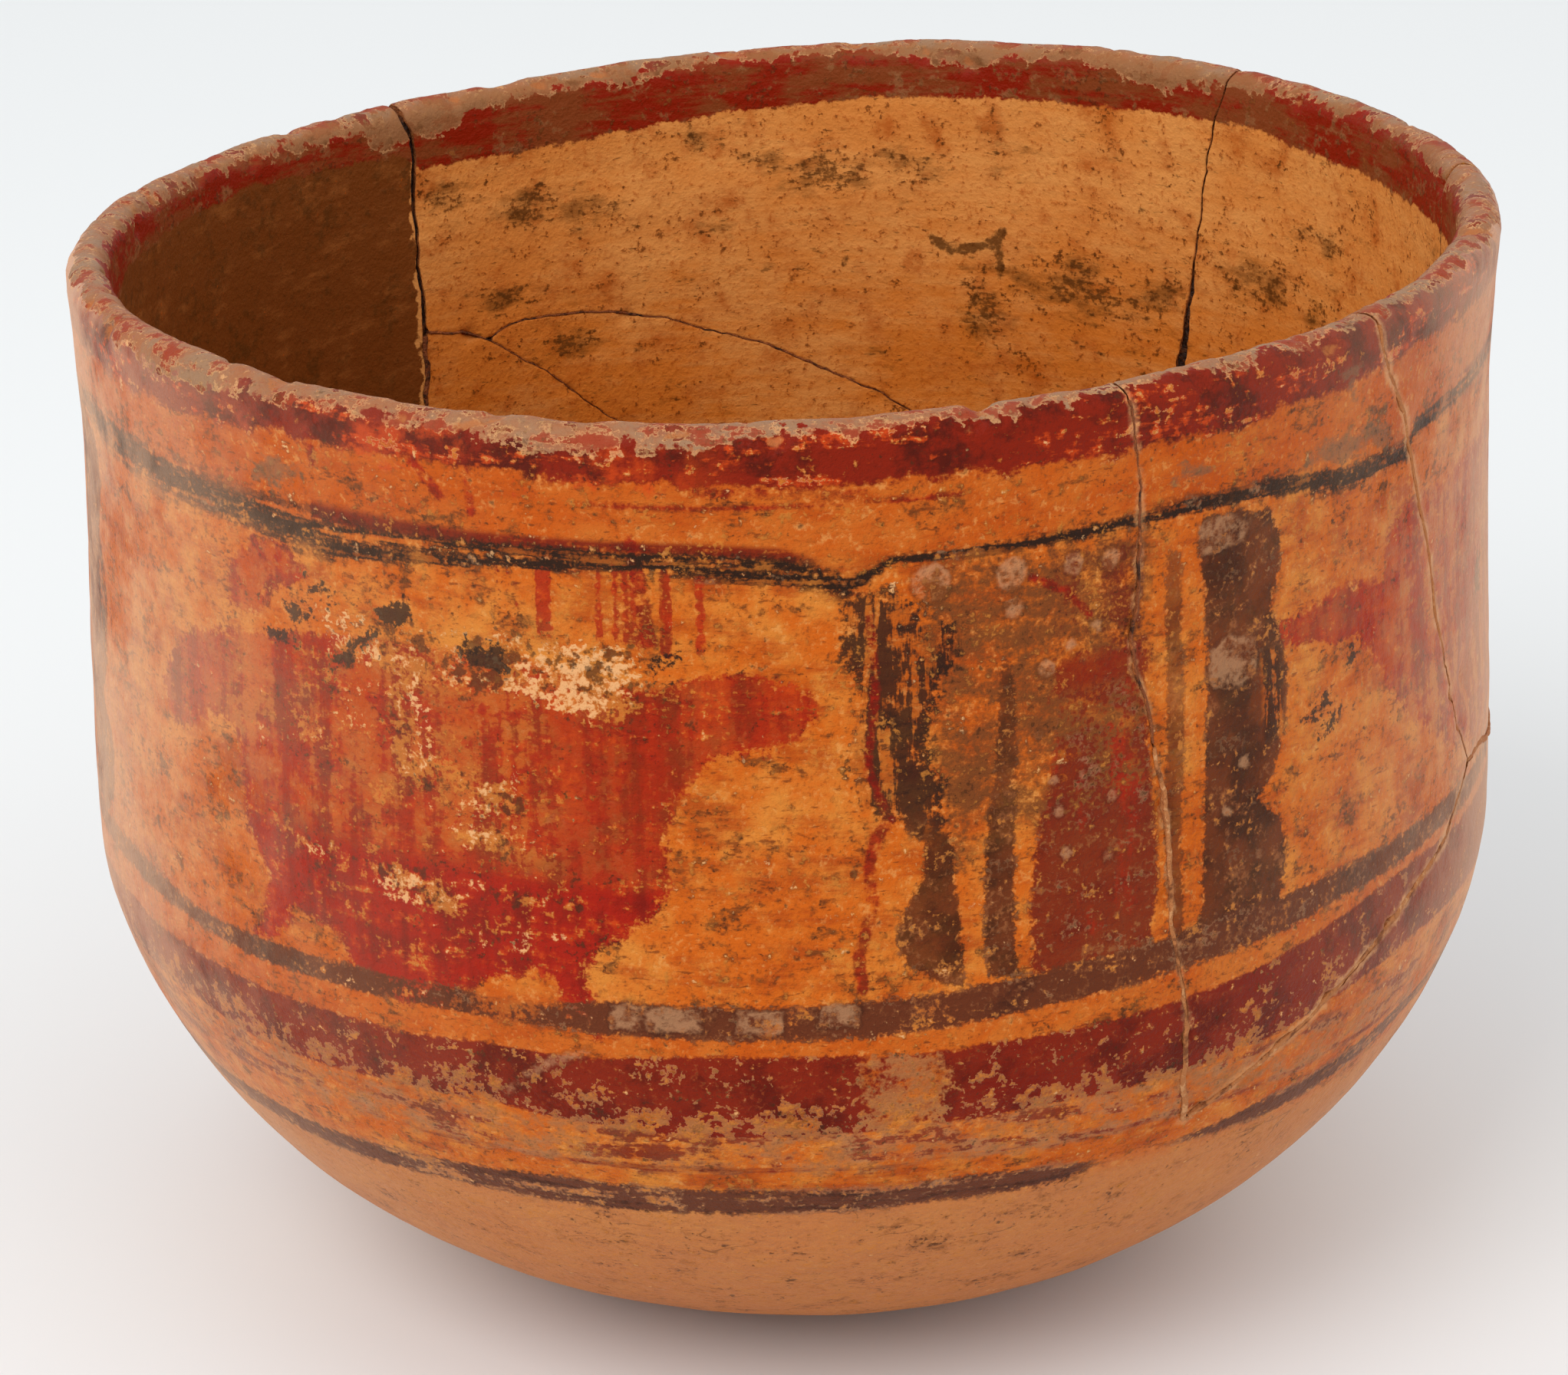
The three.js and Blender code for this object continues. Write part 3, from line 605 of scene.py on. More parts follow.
# Worn and stained places: pale scraped patches with their strength, and black marks.
scraped = [[0.9, [[-126.6, 129], [-120.4, 130.8], [-111, 130.2], [-105, 131], [-100.6, 130],
                  [-99.9, 125.4], [-101.5, 121], [-104.8, 119.2], [-109, 121.6], [-115, 122],
                  [-119.6, 122.6], [-125, 123]]],
           [1.25, [[-109.5, 129.4], [-101.8, 130.4], [-100.6, 126], [-103.6, 120.8],
                   [-107.4, 122.6]]],
           [0.8, [[-120.4, 123], [-117.2, 123], [-116.6, 112], [-115.4, 105.6], [-118.4, 106],
                  [-120.6, 112]]],
           [0.9, [[-115.6, 110], [-110, 110.4], [-109.6, 105.2], [-114.4, 105]]],
           [1, [[-115, 104.6], [-110.4, 104.2], [-110.8, 99.4], [-114.6, 100]]],
           [1.1, [[-123, 95.4], [-119, 95], [-115.2, 93], [-115, 89.4], [-118.6, 89.6],
                  [-122, 92]]],
           [0.75, [[-113, 94], [-105.4, 96.4], [-105.2, 93.6], [-110, 91.6]]],
           [0.7, [[-129.6, 113.4], [-126.6, 112.4], [-125.4, 109.4], [-128, 109.6]]],
           [0.7, [[-125.4, 118.4], [-123, 119.4], [-122.6, 115.4], [-124.4, 114.6]]],
           [0.6, [[-97.6, 121], [-95, 119.8], [-96.4, 117.4], [-99.6, 118.2]]],
           [0.9, [[-129.4, 95.6], [-125.6, 96.4], [-124.4, 93.6], [-128, 92.8]]],
           [0.8, [[-114, 88], [-109.6, 88.4], [-109.8, 86.4], [-113.6, 86.2]]]]
blackMarks = [[[-127.8, 132.8], [-124.7, 131.8], [-125, 130.2], [-127.6, 130.6]],
              [[-121.4, 130], [-118.3, 135], [-118.2, 130.6], [-120, 129.2]],
              [[-123.6, 125.6], [-121.8, 129.2], [-119, 131.6], [-118.4, 130.2], [-121, 127.8],
               [-122.2, 125.2]],
              [[-132.7, 125], [-129.4, 125.6], [-129.2, 122.8], [-131.4, 122]],
              [[-130.4, 128.6], [-127, 129.4], [-126.4, 127.4], [-129.6, 126.6]],
              [[-113.6, 128.6], [-110.8, 129], [-110.8, 125.2], [-112.6, 124.6],
               [-115.4, 123.6], [-115, 125]],
              [[-100.7, 128.6], [-98, 129], [-98.4, 125.8], [-100.4, 125.2]],
              [[-125.4, 123.4], [-123.4, 124.6], [-123.2, 122.6], [-125.2, 122]],
              [[-48.4, 107], [-45.6, 111], [-44.4, 110.6], [-46.4, 106.4]],
              [[-46.6, 104.2], [-44.2, 107.4], [-43.9, 106.4], [-45.8, 103.6]],
              [[-43, 115.4], [-42.2, 115.6], [-42.1, 112], [-42.8, 112]],
              [[-18.8, 109], [-17.8, 113.4], [-16.6, 114.6], [-15.4, 112.6], [-15.6, 108.4],
               [-17, 106.6]]]

# Dark freckles inside the bowl: heading, height, and how far they spread each way.
freckles = [[124, 142, 5, 5], [117, 138, 6, 5], [110, 136, 5, 4], [85, 139, 6, 4.5],
            [77, 140, 6, 4], [98.5, 146.5, 1.6, 3], [38, 127, 7, 5], [31, 126, 4, 5],
            [60, 120, 9, 6], [53, 119, 5, 5], [70, 114, 3, 6], [112, 113, 5, 3],
            [30, 137, 5, 3], [92, 141, 3, 2], [118, 123, 4, 3]]
spots = [[105, 110.6, 1.1, 0.7], [53.6, 134.6, 0.9, 0.6], [41, 129.8, 0.6, 0.5],
         [42.5, 125, 0.9, 0.9], [84, 123, 0.8, 1], [99, 147, 0.9, 1.3]]
squiggle = [[0.9, [[75.4, 127], [73.6, 125], [71.4, 125.6], [69.4, 126.6], [68.3, 128.8]]],
            [0.8, [[68.8, 127], [68.6, 123.6], [68.7, 121]]],
            [0.7, [[71.4, 115.6], [70.1, 119.6]]]]
perDegree = math.pi / 180 * bowl["rimRadius"]    # millimetres round the wall in one degree
freckleUnit = 1.83     # millimetres of wall to each unit of a freckle's spread sideways
farOutside = -9.0      # the depth within a shape of a place that is nowhere near it
panelMiddle = -72.5    # the heading of the panel's middle
outlinesEnd = 90       # no outline reaches past this heading


def nowhere(places):
    return np.full(len(places), farOutside)


def degreesFrom(heading, middle):
    # How far round the bowl a heading lies from another one, the shorter way.
    return (heading - middle + 180) % 360 - 180


def shapeDepth(heading, height, outline):
    # How far within an outline each place lies, in millimetres; beyond it the value is negative.
    start = np.array(outline) * [perDegree, 1]
    end = np.roll(start, -1, 0)
    depth = nowhere(heading)
    points = np.stack([heading * perDegree, height], -1)
    near = ((points > start.min(0) - 3) & (points < start.max(0) + 3)).all(1)
    if near.any():
        apart = np.sqrt(squaresTo(points[near], start, end).min(1))
        depth[near] = np.where(liesWithin(points[near], start, end), apart, -apart)
    return depth


def bandOf(value, low, high, soft):
    # 1 between two values and 0 outside them, with soft edges.
    return smooth(value, low - soft, low + soft) * (1 - smooth(value, high - soft, high + soft))


def alongThin(heading, height, thin):
    # How far within half a line's width each place lies, for a few thin lines.
    depth = nowhere(heading)
    points = np.stack([heading * perDegree, height], -1)
    for half, places in thin:
        corners = np.array(places) * [perDegree, 1]
        apart = np.sqrt(squaresTo(points, corners[:-1], corners[1:]).min(1))
        depth = np.maximum(depth, half - apart)
    return depth


def deepest(heading, height, outlines, turns=(0,)):
    # The union of some outlines, also turned further round the bowl.
    depth = nowhere(heading)
    for turn in turns:
        there = degreesFrom(heading, turn)
        there = np.where(there > outlinesEnd, there - 360, there)
        for outline in outlines:
            depth = np.maximum(depth, shapeDepth(there, height, outline))
    return depth


def bandEdge(name, side, heading):
    band = bands[name]
    return np.interp(heading, band["heading"], band[side])


def bandDepth(name, heading, height):
    return np.minimum(height - bandEdge(name, "low", heading),
                      bandEdge(name, "high", heading) - height)


def figuresOn(heading, height):
    # How far within the red figures each place lies, and how solid the red is there: along the
    # figure's foot and on its right, with strokes elsewhere.
    first = deepest(heading, height, figure.values(), figureTurns)
    second = deepest(heading, height, secondFigure.values())
    there = np.where(heading < 0, heading, heading - figureTurns[1])
    solid = np.maximum(1 - smooth(height, 95, 104), 0.8 * smooth(there, -113, -106))
    solid = np.maximum(solid, np.maximum(0.5, 0.65 * (1 - smooth(there, -137, -133))))
    solid = np.where(second > first, 0.75 - 0.4 * smooth(heading, -41, -32), solid)
    return np.maximum(first, second), solid


def barsOn(heading, height):
    # How far within the panel's bars each place lies, and how strong and how scribbled they are.
    dark, strength, scribble = nowhere(heading), np.zeros(len(heading)), 0
    for name, upper, lower, scribbled in panelBars:
        depth = deepest(heading, height, [panel[name]], panelTurns)
        ahead = depth > dark
        dark = np.where(ahead, depth, dark)
        strength = np.where(ahead, lower + (upper - lower) * smooth(height, 98, 108), strength)
        scribble = np.where(ahead, scribbled * smooth(height, 101, 107), scribble)
    edged = deepest(heading, height, [panel["barFourEdge"]], panelTurns)
    return dark, strength, np.maximum(scribble, smooth(edged, -0.6, 0.4))


def fadedOn(heading, height):
    # How far within the faded patches, dots and scratches each place lies.
    light = deepest(heading, height, [panel["barPatch"], panel["barLight"]], panelTurns)
    light = np.maximum(light, deepest(heading, height, lowerPatches) + 0.3)
    light = np.maximum(light, alongThin(heading, height, scratches))
    for turn in panelTurns:
        for dotHeading, dotHeight, size in panelDots:
            apart = degreesFrom(heading, turn + dotHeading)
            light = np.maximum(light, size - np.hypot(apart * perDegree, height - dotHeight))
    return light


def wearOn(heading, height):
    # How scraped each place is, how bare of its band, and how pale with dust and painted sheen.
    pale, patchy, dust = np.zeros((3, len(heading)))
    for amount, outline in scraped:
        pale = np.maximum(pale, amount * smooth(shapeDepth(heading, height, outline), -3, 2.4))
    for start, end, bottom, top, amount in wornGaps:
        patchy = np.maximum(patchy, amount * bandOf(heading, start, end, 2.4)
                            * bandOf(height, bottom, top, 2.5))
    # Dust and a painted sheen pale the flanks.
    for middle, spread, amount in flankDustAndSheen:
        dust = np.maximum(dust, amount * np.exp(-((heading - middle) / spread) ** 2))
    return pale, patchy, dust


def paintOn(heading, height, fromLip, smear):
    # What the outer face's paint needs to know at each point, three numbers to a layer.
    red, solid = figuresOn(heading, height)
    dark, strength, scribble = barsOn(heading, height)
    field, fieldTop = (deepest(heading, height, [panel[k]], panelTurns) for k in ("field", "fieldTop"))
    pale, patchy, dust = wearOn(heading, height)
    black = deepest(heading, height, blackMarks)
    line = (height - bandEdge("line", "middle", heading)) / bandEdge("line", "half", heading)
    apart = np.stack([degreesFrom(heading, turn + panelMiddle) for turn in panelTurns])
    across = np.take_along_axis(apart, np.abs(apart).argmin(0)[None], 0)[0]
    return {
        "rimLineLower": [height - bandEdge("rim", "low", heading), line,
                         bandDepth("lower", heading, height)],
        "maroonBeltLip": [bandDepth("maroon", heading, height),
                          bandDepth("belt", heading, height), fromLip],
        "redDarkField": [red, dark, field],
        "paleBlackLight": [pale, black, fadedOn(heading, height)],
        "acrossHeightTop": [across * perDegree, height, fieldTop],
        "strokesThinWash": [deepest(heading, height, strokes), alongThin(heading, height, thinRed),
                            deepest(heading, height, wash, panelTurns)],
        "strengthScribbleSolid": [strength, scribble, solid],
        "patchyDustSmear": [patchy, dust, smear],
        "crustBleedGrey": [np.interp(heading, crust["heading"], crust["outside"]),
                           bandOf(heading, -133, -97, 4), deepest(heading, height, greyed)],
    }


def paintInside(heading, height, fromLip, stained):
    # The inner face: its rim band, and freckles that gather in a few places.
    freckled = np.zeros(len(heading))
    for there, level, wide, high in freckles:
        apart = np.hypot((heading - there) * perDegree / (wide * freckleUnit), (height - level) / high)
        freckled = np.maximum(freckled, np.exp(-apart ** 2))
    marks = alongThin(heading, height, squiggle)
    for there, level, wide, high in spots:
        apart = np.hypot((heading - there) * perDegree / wide, (height - level) / high)
        marks = np.maximum(marks, (1 - apart) * min(wide, high))
    none = nowhere(heading)
    return {
        "rimLineLower": [height - bandEdge("inside", "low", heading), none, none],
        "maroonBeltLip": [none, none, fromLip],
        "redDarkField": [none, none, none],
        "paleBlackLight": [freckled, marks, stained],
        "acrossHeightTop": [none * 11, height, none],
        "strokesThinWash": [none, none, none],
        "strengthScribbleSolid": [none * 0, none * 0, none * 0],
        "patchyDustSmear": [none * 0, none * 0, none],
        "crustBleedGrey": [np.interp(heading, crust["heading"], crust["inside"]), none * 0, none],
    }


def skinOf(name, sherd, edge, rows, joined, inner):
    # One face of a sherd: its points, its triangles, and what its paint needs to know.
    placed, triangles = triangulate(edge, np.concatenate(
        [rows, pointsWithin(sherd, edge[::3], joined[::3], inner)]))
    turn, along = fromChart(placed)
    fromLip = (along - alongTop) if inner else (alongTop - along)
    nearBreak = distanceTo(placed, edge[::2], used=joined[::2])[0]
    lift = wearOf(onWall(turn, along, 0, inner), fromLip, nearBreak, at("share", along))
    heading, height = np.degrees(turn), at("height", along)
    stained = np.full(len(turn), float(name.startswith("base")))
    if inner:
        painted = paintInside(heading, height, fromLip, stained)
    else:
        smear = nowhere(turn)
        for joint, reach in smeared.items():
            if joint in sherd["edge"]:
                apart = distanceTo(placed, lines[joint][0], closed=False)[0]
                smear = np.maximum(smear, reach - apart)
        painted = paintOn(heading, height, fromLip, smear)
    painted["breakStainedLift"] = [nearBreak, stained, lift]
    notes = {key: np.stack(values, -1) for key, values in painted.items()}
    return onWall(turn, along, lift, inner), triangles if inner else triangles[:, ::-1], notes


def breakBetween(edge, inward, outerEdge, innerEdge):
    # Rows of points from one edge to the other, roughened into the sherd.
    nudge = 0.5
    nudged = onWall(*fromChart(edge + inward * nudge * chartScale(edge)[:, None]))
    into = (nudged - onWall(*fromChart(edge))) / nudge
    rows = []
    for k in range(1, breakRows):
        share = k / breakRows
        row = outerEdge + (innerEdge - outerEdge) * share
        rough = layered(row, breakRough, 31) + breakSunk
        rows.append(row + into * (rough * math.sin(math.pi * share))[:, None])
    return rows


def stripsBetween(levels, here, there):
    # Two triangles to each step between neighbouring rows, without those that have no width.
    strips = []
    for upper, lower in zip(levels, levels[1:]):
        a, b, c, d = upper[here], upper[there], lower[there], lower[here]
        for strip in (np.stack([a, b, c], -1), np.stack([a, c, d], -1)):
            strips.append(strip[(strip != np.roll(strip, 1, 1)).all(1)])
    return np.concatenate(strips)


def buildSherd(name, sherd, slots):
    # A closed body: the outer face, the inner face, and the broken sides between their edges.
    edge, inward, jointCount, rows = edgeOf(sherd)
    edgeCount = len(edge)
    broken = np.arange(edgeCount) < jointCount
    joined = broken & np.roll(broken, -1)
    nearRows, within = distanceTo(rows, edge[::3], used=joined[::3])
    rows = rows[within & (nearRows > 0.1) & (fromChart(rows)[1] < alongTop - 0.25)]
    outer, outerFaces, outerNotes = skinOf(name, sherd, edge, rows, joined, False)
    inner, innerFaces, innerNotes = skinOf(name, sherd, edge, rows, joined, True)
    # The two faces share the points along the rim, where the break's two ends close too.
    ends = [0, jointCount - 1] if "rim" in sherd else []
    shared = ends + list(range(jointCount, edgeCount))
    renumber = np.arange(len(inner)) + len(outer)
    renumber[shared] = shared
    inner[shared] = outer[shared]
    base = len(outer) + len(inner)
    levels = [np.arange(edgeCount)]
    for k in range(1, breakRows):
        index = base + (k - 1) * edgeCount + np.arange(edgeCount)
        index[ends] = ends
        levels.append(index)
    levels.append(renumber[:edgeCount])
    here = np.arange(jointCount - 1 if "rim" in sherd else edgeCount)
    sides = stripsBetween(levels, here, (here + 1) % edgeCount)
    faces = np.concatenate([outerFaces, renumber[innerFaces], sides])
    points = np.concatenate([outer, inner, *breakBetween(
        edge, inward, outer[:edgeCount], inner[:edgeCount])])
    used = np.zeros(len(points), bool)
    used[faces.ravel()] = True
    order = np.cumsum(used) - 1
    attributes = {}
    for key, values in outerNotes.items():
        filled = np.zeros((len(points), 3))
        filled[:base] = np.concatenate([values, innerNotes[key]])
        attributes[key] = filled[used]
    slotOf = np.arange(len(faces)) >= len(faces) - len(sides)
    piece = addMesh("painted_" + name, points[used], order[faces], slots, attributes, slotOf)
    print(name, "has", len(faces), "triangles")
    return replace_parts(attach(piece, "root"), name)


# The adhesive in the joints: which lines each piece follows, between which shares up the wall, how
# far it lies under the faces, how far it spreads past the opening, and how lumpy it is.
films = {
    "front_joint_glue": {"lines": ["front"], "from": 1.455, "to": 2.02, "look": "thin"},
    "front_joint_fill": {"lines": ["front"], "from": 0, "to": 1.45, "look": "fill"},
    "slant_joint_fill": {"lines": ["slantFront"], "look": "fill"},
    "right_joint_glue": {"lines": ["right"], "to": 2.02, "look": "tan"},
    "slant_joint_right_glue": {"lines": ["slantRight"], "look": "tan"},
    "slant_joint_back_glue": {"lines": ["slantBack"], "look": "thin"},
    "side_joint_glue": {"lines": ["side"], "to": 2.02, "look": "glue",
                        "beads": [[1.815, 1.985], [1.6, 1.697], [1.333, 1.423]]},
    "left_joint_upper_glue": {"lines": ["leftUpper"], "to": 2.02, "look": "glue"},
    "left_joint_lower_glue": {"lines": ["leftLower"], "look": "thin"},
    "back_joint_upper_glue": {"lines": ["backUpper"], "to": 2.02, "look": "glue"},
    "back_joint_lower_glue": {"lines": ["backLens", "backMiddle", "backLow"], "look": "thin"},
    "crescent_joint_glue": {"lines": ["crescentTop", "crescentLow"], "look": "thin"},
    "lens_joint_glue": {"lines": ["lens"], "look": "thin"},
}
filmLooks = {"glue": {"under": 0.75, "past": 0.1, "lumps": 0.25, "slot": "adhesive"},
             "thin": {"under": 0.03, "past": 0.02, "lumps": 0.06, "slot": "adhesive"},
             "tan": {"under": 0.04, "past": 0.1, "lumps": 0.12, "slot": "adhesive"},
             "fill": {"under": 0, "past": 0.1, "lumps": 0.15, "slot": "pale_fill"}}
bead = {"rise": 1.5, "spread": 1.3, "roundness": 0.6}
filmAcross = 5    # points across a film under each face


def buildFilm(name, film, material):
    # A closed tube whose section reaches from near one face to near the other: five points across
    # under the outer face, five under the inner one. A bead swells out past the outer face.
    look = filmLooks[film["look"]]
    chain = [lines[k] for k in film["lines"]]
    line, half = (np.concatenate([run[k][:-1] for run in chain] + [chain[-1][k][-1:]])
                  for k in (0, 1))
    share = at("share", fromChart(line)[1])
    kept = (share >= film.get("from", 0)) & (share <= film.get("to", 2))
    line, half, share = line[kept], half[kept], share[kept]
    if "to" not in film:
        line, half, share = line[1:-1], half[1:-1], share[1:-1]
    left = sideways(line) * chartScale(line)[:, None]
    solid = onWall(*fromChart(line))
    swell = np.zeros(len(line))
    for low, high in film.get("beads", []):
        way = np.clip((share - low) / (high - low), 0, 1)
        swell = np.maximum(swell, np.sin(np.pi * way) ** bead["roundness"])
    lumps = look["lumps"] * noise(solid, 2.2, 41) + look["lumps"] * 0.6 * noise(solid, 0.9, 42)
    across = np.linspace(-1, 1, filmAcross)
    thick = np.linalg.norm(solid - onWall(*fromChart(line), 0, True), axis=1)
    rings = []
    for inner in (False, True):
        for k in across if not inner else across[::-1]:
            reach = half + look["past"] + (0 if inner else 1) * swell * bead["spread"]
            dome = math.sqrt(max(1 - k * k, 0))
            under = look["under"] + lumps - 0.12 * dome
            if not inner:
                under = under * (1 - swell) - swell * bead["rise"] * dome
            under = np.minimum(under, thick / 2 - 0.2)
            place = fromChart(line + left * (k * reach)[:, None])
            rings.append(onWall(*place, -under, inner))
    points = np.stack(rings, 1)
    count, sides = points.shape[:2]
    i, k = np.meshgrid(np.arange(count - 1), np.arange(sides), indexing="ij")
    a, b = i * sides + k, i * sides + (k + 1) % sides
    quads = np.stack([a, b, b + sides, a + sides], -1).reshape(-1, 4)
    triangles = np.concatenate([quads[:, [0, 1, 2]], quads[:, [0, 2, 3]]])
    fan = np.arange(1, sides - 1)
    last = (count - 1) * sides
    caps = np.concatenate([np.stack([fan * 0, fan + 1, fan], -1),
                           np.stack([fan * 0 + last, fan + last, fan + 1 + last], -1)])
    triangles = np.concatenate([triangles, caps])
    points = points.reshape(-1, 3)
    a, b, c = (points[triangles[:, n]] for n in range(3))
    if (np.cross(a, b) * c).sum() < 0:
        triangles = triangles[:, ::-1]
    piece = addMesh("set_" + name, points, triangles, [material])
    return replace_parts(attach(piece, "root"), name)


class Paint:
    # One socket of a material. Python's operators add Math nodes to it.
    def __init__(self, tree, socket=None):
        self.tree, self.socket = tree, socket

    def add(self, kind, settings=None, inputs=None, out=0):
        # Any node, from its type, its settings, and the values or links of its sockets.
        node = self.tree.nodes.new(kind)
        for key, value in (settings or {}).items():
            setattr(node, key, value)
        for key, value in (inputs or {}).items():
            if isinstance(value, Paint):
                self.tree.links.new(value.socket, node.inputs[key])
            else:
                node.inputs[key].default_value = value
        return Paint(self.tree, node.outputs[out])

    def calc(self, operation, *others):
        return self.add("ShaderNodeMath", {"operation": operation}, dict(enumerate((self, *others))))

    def __add__(self, other):
        return self.calc("ADD", other)

    def __sub__(self, other):
        return self.calc("SUBTRACT", other)

    def __rsub__(self, other):
        return (self * -1) + other

    def __mul__(self, other):
        return self.calc("MULTIPLY", other)

    __radd__, __rmul__ = __add__, __mul__

    def least(self, other):
        return self.calc("MINIMUM", other)

    def most(self, other):
        return self.calc("MAXIMUM", other)

    def step(self, low, high):
        # 0 below low, 1 above high, and smooth between.
        return self.add("ShaderNodeMapRange", {"interpolation_type": "SMOOTHSTEP"},
                        {0: self, 1: low, 2: high})

    def near(self, place, reach):
        # 1 where the value is this one, and 0 further than the reach from it.
        return 1 - (self - place).calc("ABSOLUTE").step(reach * 0.3, reach)

    def covered(self, name, amount):
        # This colour under another one, as far as the amount says.
        over = paints[name] if isinstance(name, str) else name
        return self.add("ShaderNodeMix", {"data_type": "RGBA"}, {0: amount, 6: self, 7: over}, 2)

    def flaked(self, cloud, edge, under, amount, outline=0.5):
        # A coat that has come off where the cloud is above the edge, with a pale line round it.
        off = self.covered(under, cloud.step(edge, edge + 0.2) * amount)
        return off.covered("cream", cloud.near(edge + 0.08, 0.16) * amount * outline)

    def parts(self, name):
        # The three numbers of one of the mesh's layers.
        layer = self.add("ShaderNodeAttribute", {"attribute_name": name}, out="Vector")
        split = layer.add("ShaderNodeSeparateXYZ", inputs={0: layer}).socket.node
        return [Paint(self.tree, split.outputs[k]) for k in range(3)]

    def plain(self, name):
        # One colour of the palette, to be covered by others.
        node = self.add("ShaderNodeRGB")
        node.socket.default_value = paints[name]
        return node

    def grain(self, size, detail=4, rough=0.55, stretch=(1, 1, 1), off=0):
        # Cloudy noise round nought, in its own spreads, with features this many millimetres wide.
        scale = [1000 * s / size for s in stretch]
        place = self.add("ShaderNodeTexCoord", out="Object")
        place = place.add("ShaderNodeVectorMath", {"operation": "MULTIPLY_ADD"},
                          {0: place, 1: scale, 2: (off, off * 1.7 + 3, off * 0.6)})
        cloud = place.add("ShaderNodeTexNoise", inputs={"Vector": place, "Scale": 1,
                                                        "Detail": detail, "Roughness": rough})
        return (cloud - 0.5) * 9


def colour(red, green, blue):
    # A colour by its display values from 0 to 255, as the plain light values that a shader takes.
    channel = [v / 255 for v in (red, green, blue)]
    return tuple(v / 12.92 if v < 0.04045 else ((v + 0.055) / 1.055) ** 2.4 for v in channel) + (1,)


def newMaterial(name, roughness, specular=0.5):
    material = bpy.data.materials.new(name)
    material.use_nodes = True
    shader = material.node_tree.nodes["Principled BSDF"]
    shader.inputs["Roughness"].default_value = roughness
    shader.inputs["Specular IOR Level"].default_value = specular
    return material, shader, Paint(material.node_tree)


def finish(material, shader, base, rough=None, relief=None, depth=0.0003):
    links = material.node_tree.links
    links.new(base.socket, shader.inputs["Base Color"])
    if rough is not None:
        links.new(rough.socket, shader.inputs["Roughness"])
    if relief is not None:
        bump = relief.add("ShaderNodeBump", inputs={"Height": relief, "Strength": 1,
                                                    "Distance": depth})
        links.new(bump.socket, shader.inputs["Normal"])
    return material


# The clay's and the paints' colours.
paints = {
    "clay": (190, 88, 12), "clayPale": (202, 124, 46), "clayLight": (214, 148, 78),
    "clayDeep": (160, 62, 4), "clayDark": (112, 50, 10), "slip": (176, 70, 2),
    "foot": (188, 120, 68), "dust": (226, 180, 146), "dirt": (88, 50, 18), "fleck": (62, 30, 8),
    "cream": (220, 164, 110), "crust": (152, 114, 84), "greyed": (112, 84, 58),
    "red": (152, 20, 0), "redDeep": (108, 12, 0), "redPale": (190, 62, 8),
    "rim": (124, 24, 0), "rimDeep": (80, 14, 0), "lip": (160, 100, 64), "lipPink": (150, 56, 30),
    "maroon": (122, 28, 4), "maroonDeep": (92, 16, 0), "maroonPale": (146, 66, 28),
    "wornTan": (162, 102, 58), "black": (24, 14, 10), "line": (40, 20, 8), "bar": (92, 40, 14),
    "barDeep": (46, 18, 4), "barPale": (132, 76, 42), "wash": (112, 58, 22), "field": (108, 26, 6),
    "lower": (94, 42, 18), "lowerDeep": (58, 24, 10), "belt": (98, 50, 30), "taupe": (176, 126, 88),
    "inside": (212, 118, 40), "insidePale": (232, 158, 84), "insideDeep": (178, 80, 12),
    "stain": (120, 62, 20), "stainPale": (150, 86, 36), "insideRim": (132, 62, 26),
    "insideCrust": (150, 98, 58), "insideRed": (138, 28, 2), "freckle": (90, 50, 14),
    "break": (176, 104, 56), "breakDark": (104, 54, 24), "glue": (40, 18, 4),
    "gluePale": (104, 54, 18), "brownGlue": (124, 62, 24), "brownGluePale": (176, 98, 44),
    "fill": (176, 108, 58), "fillPale": (206, 148, 98), "fillDark": (112, 58, 24),
}
paints = {name: colour(*value) for name, value in paints.items()}


# In the functions below, m holds the mesh's layers by name and n the noises.
def groundOf(p, m, n):
    # The bare slip: orange, mottled paler and deeper, with a web of fine dark cracks and dirt.
    base = p.plain("clay")
    base = base.covered("clayPale", (n.broad * 0.5 + n.mottle * 0.7).step(-0.9, 1.4) * 0.85)
    base = base.covered("clayDeep", (n.wipe * 0.6 + n.dirt * 0.6).step(-0.3, 1.3) * 0.85)
    base = base.covered("slip", m.height.step(141, 143) * 0.6)
    base = base.covered("slip", (m.height.step(64, 68) * (1 - m.height.step(79, 81))) * 0.5)
    low = 1 - m.height.step(44, 50)
    base = base.covered("foot", low * 0.8)
    web = n.fine * 0.7 + n.grit * 0.55 + n.smudge * 0.45
    base = base.covered("clayDark", web.step(0.1, 2) * (0.7 - low * 0.4))
    base = base.covered("clayLight", (web * -1).step(0.5, 2.3) * (0.5 - low * 0.25))
    smudged = (n.smudge * 0.9 + n.fine * 0.5).step(0.5, 1.8)
    base = base.covered("dirt", smudged * (0.66 - low * 0.45))
    base = base.covered("clayDark", n.dashes.step(0.75, 1.7) * (0.75 - low * 0.5))
    return base.covered("dirt", n.hairs * (low * 0.5))


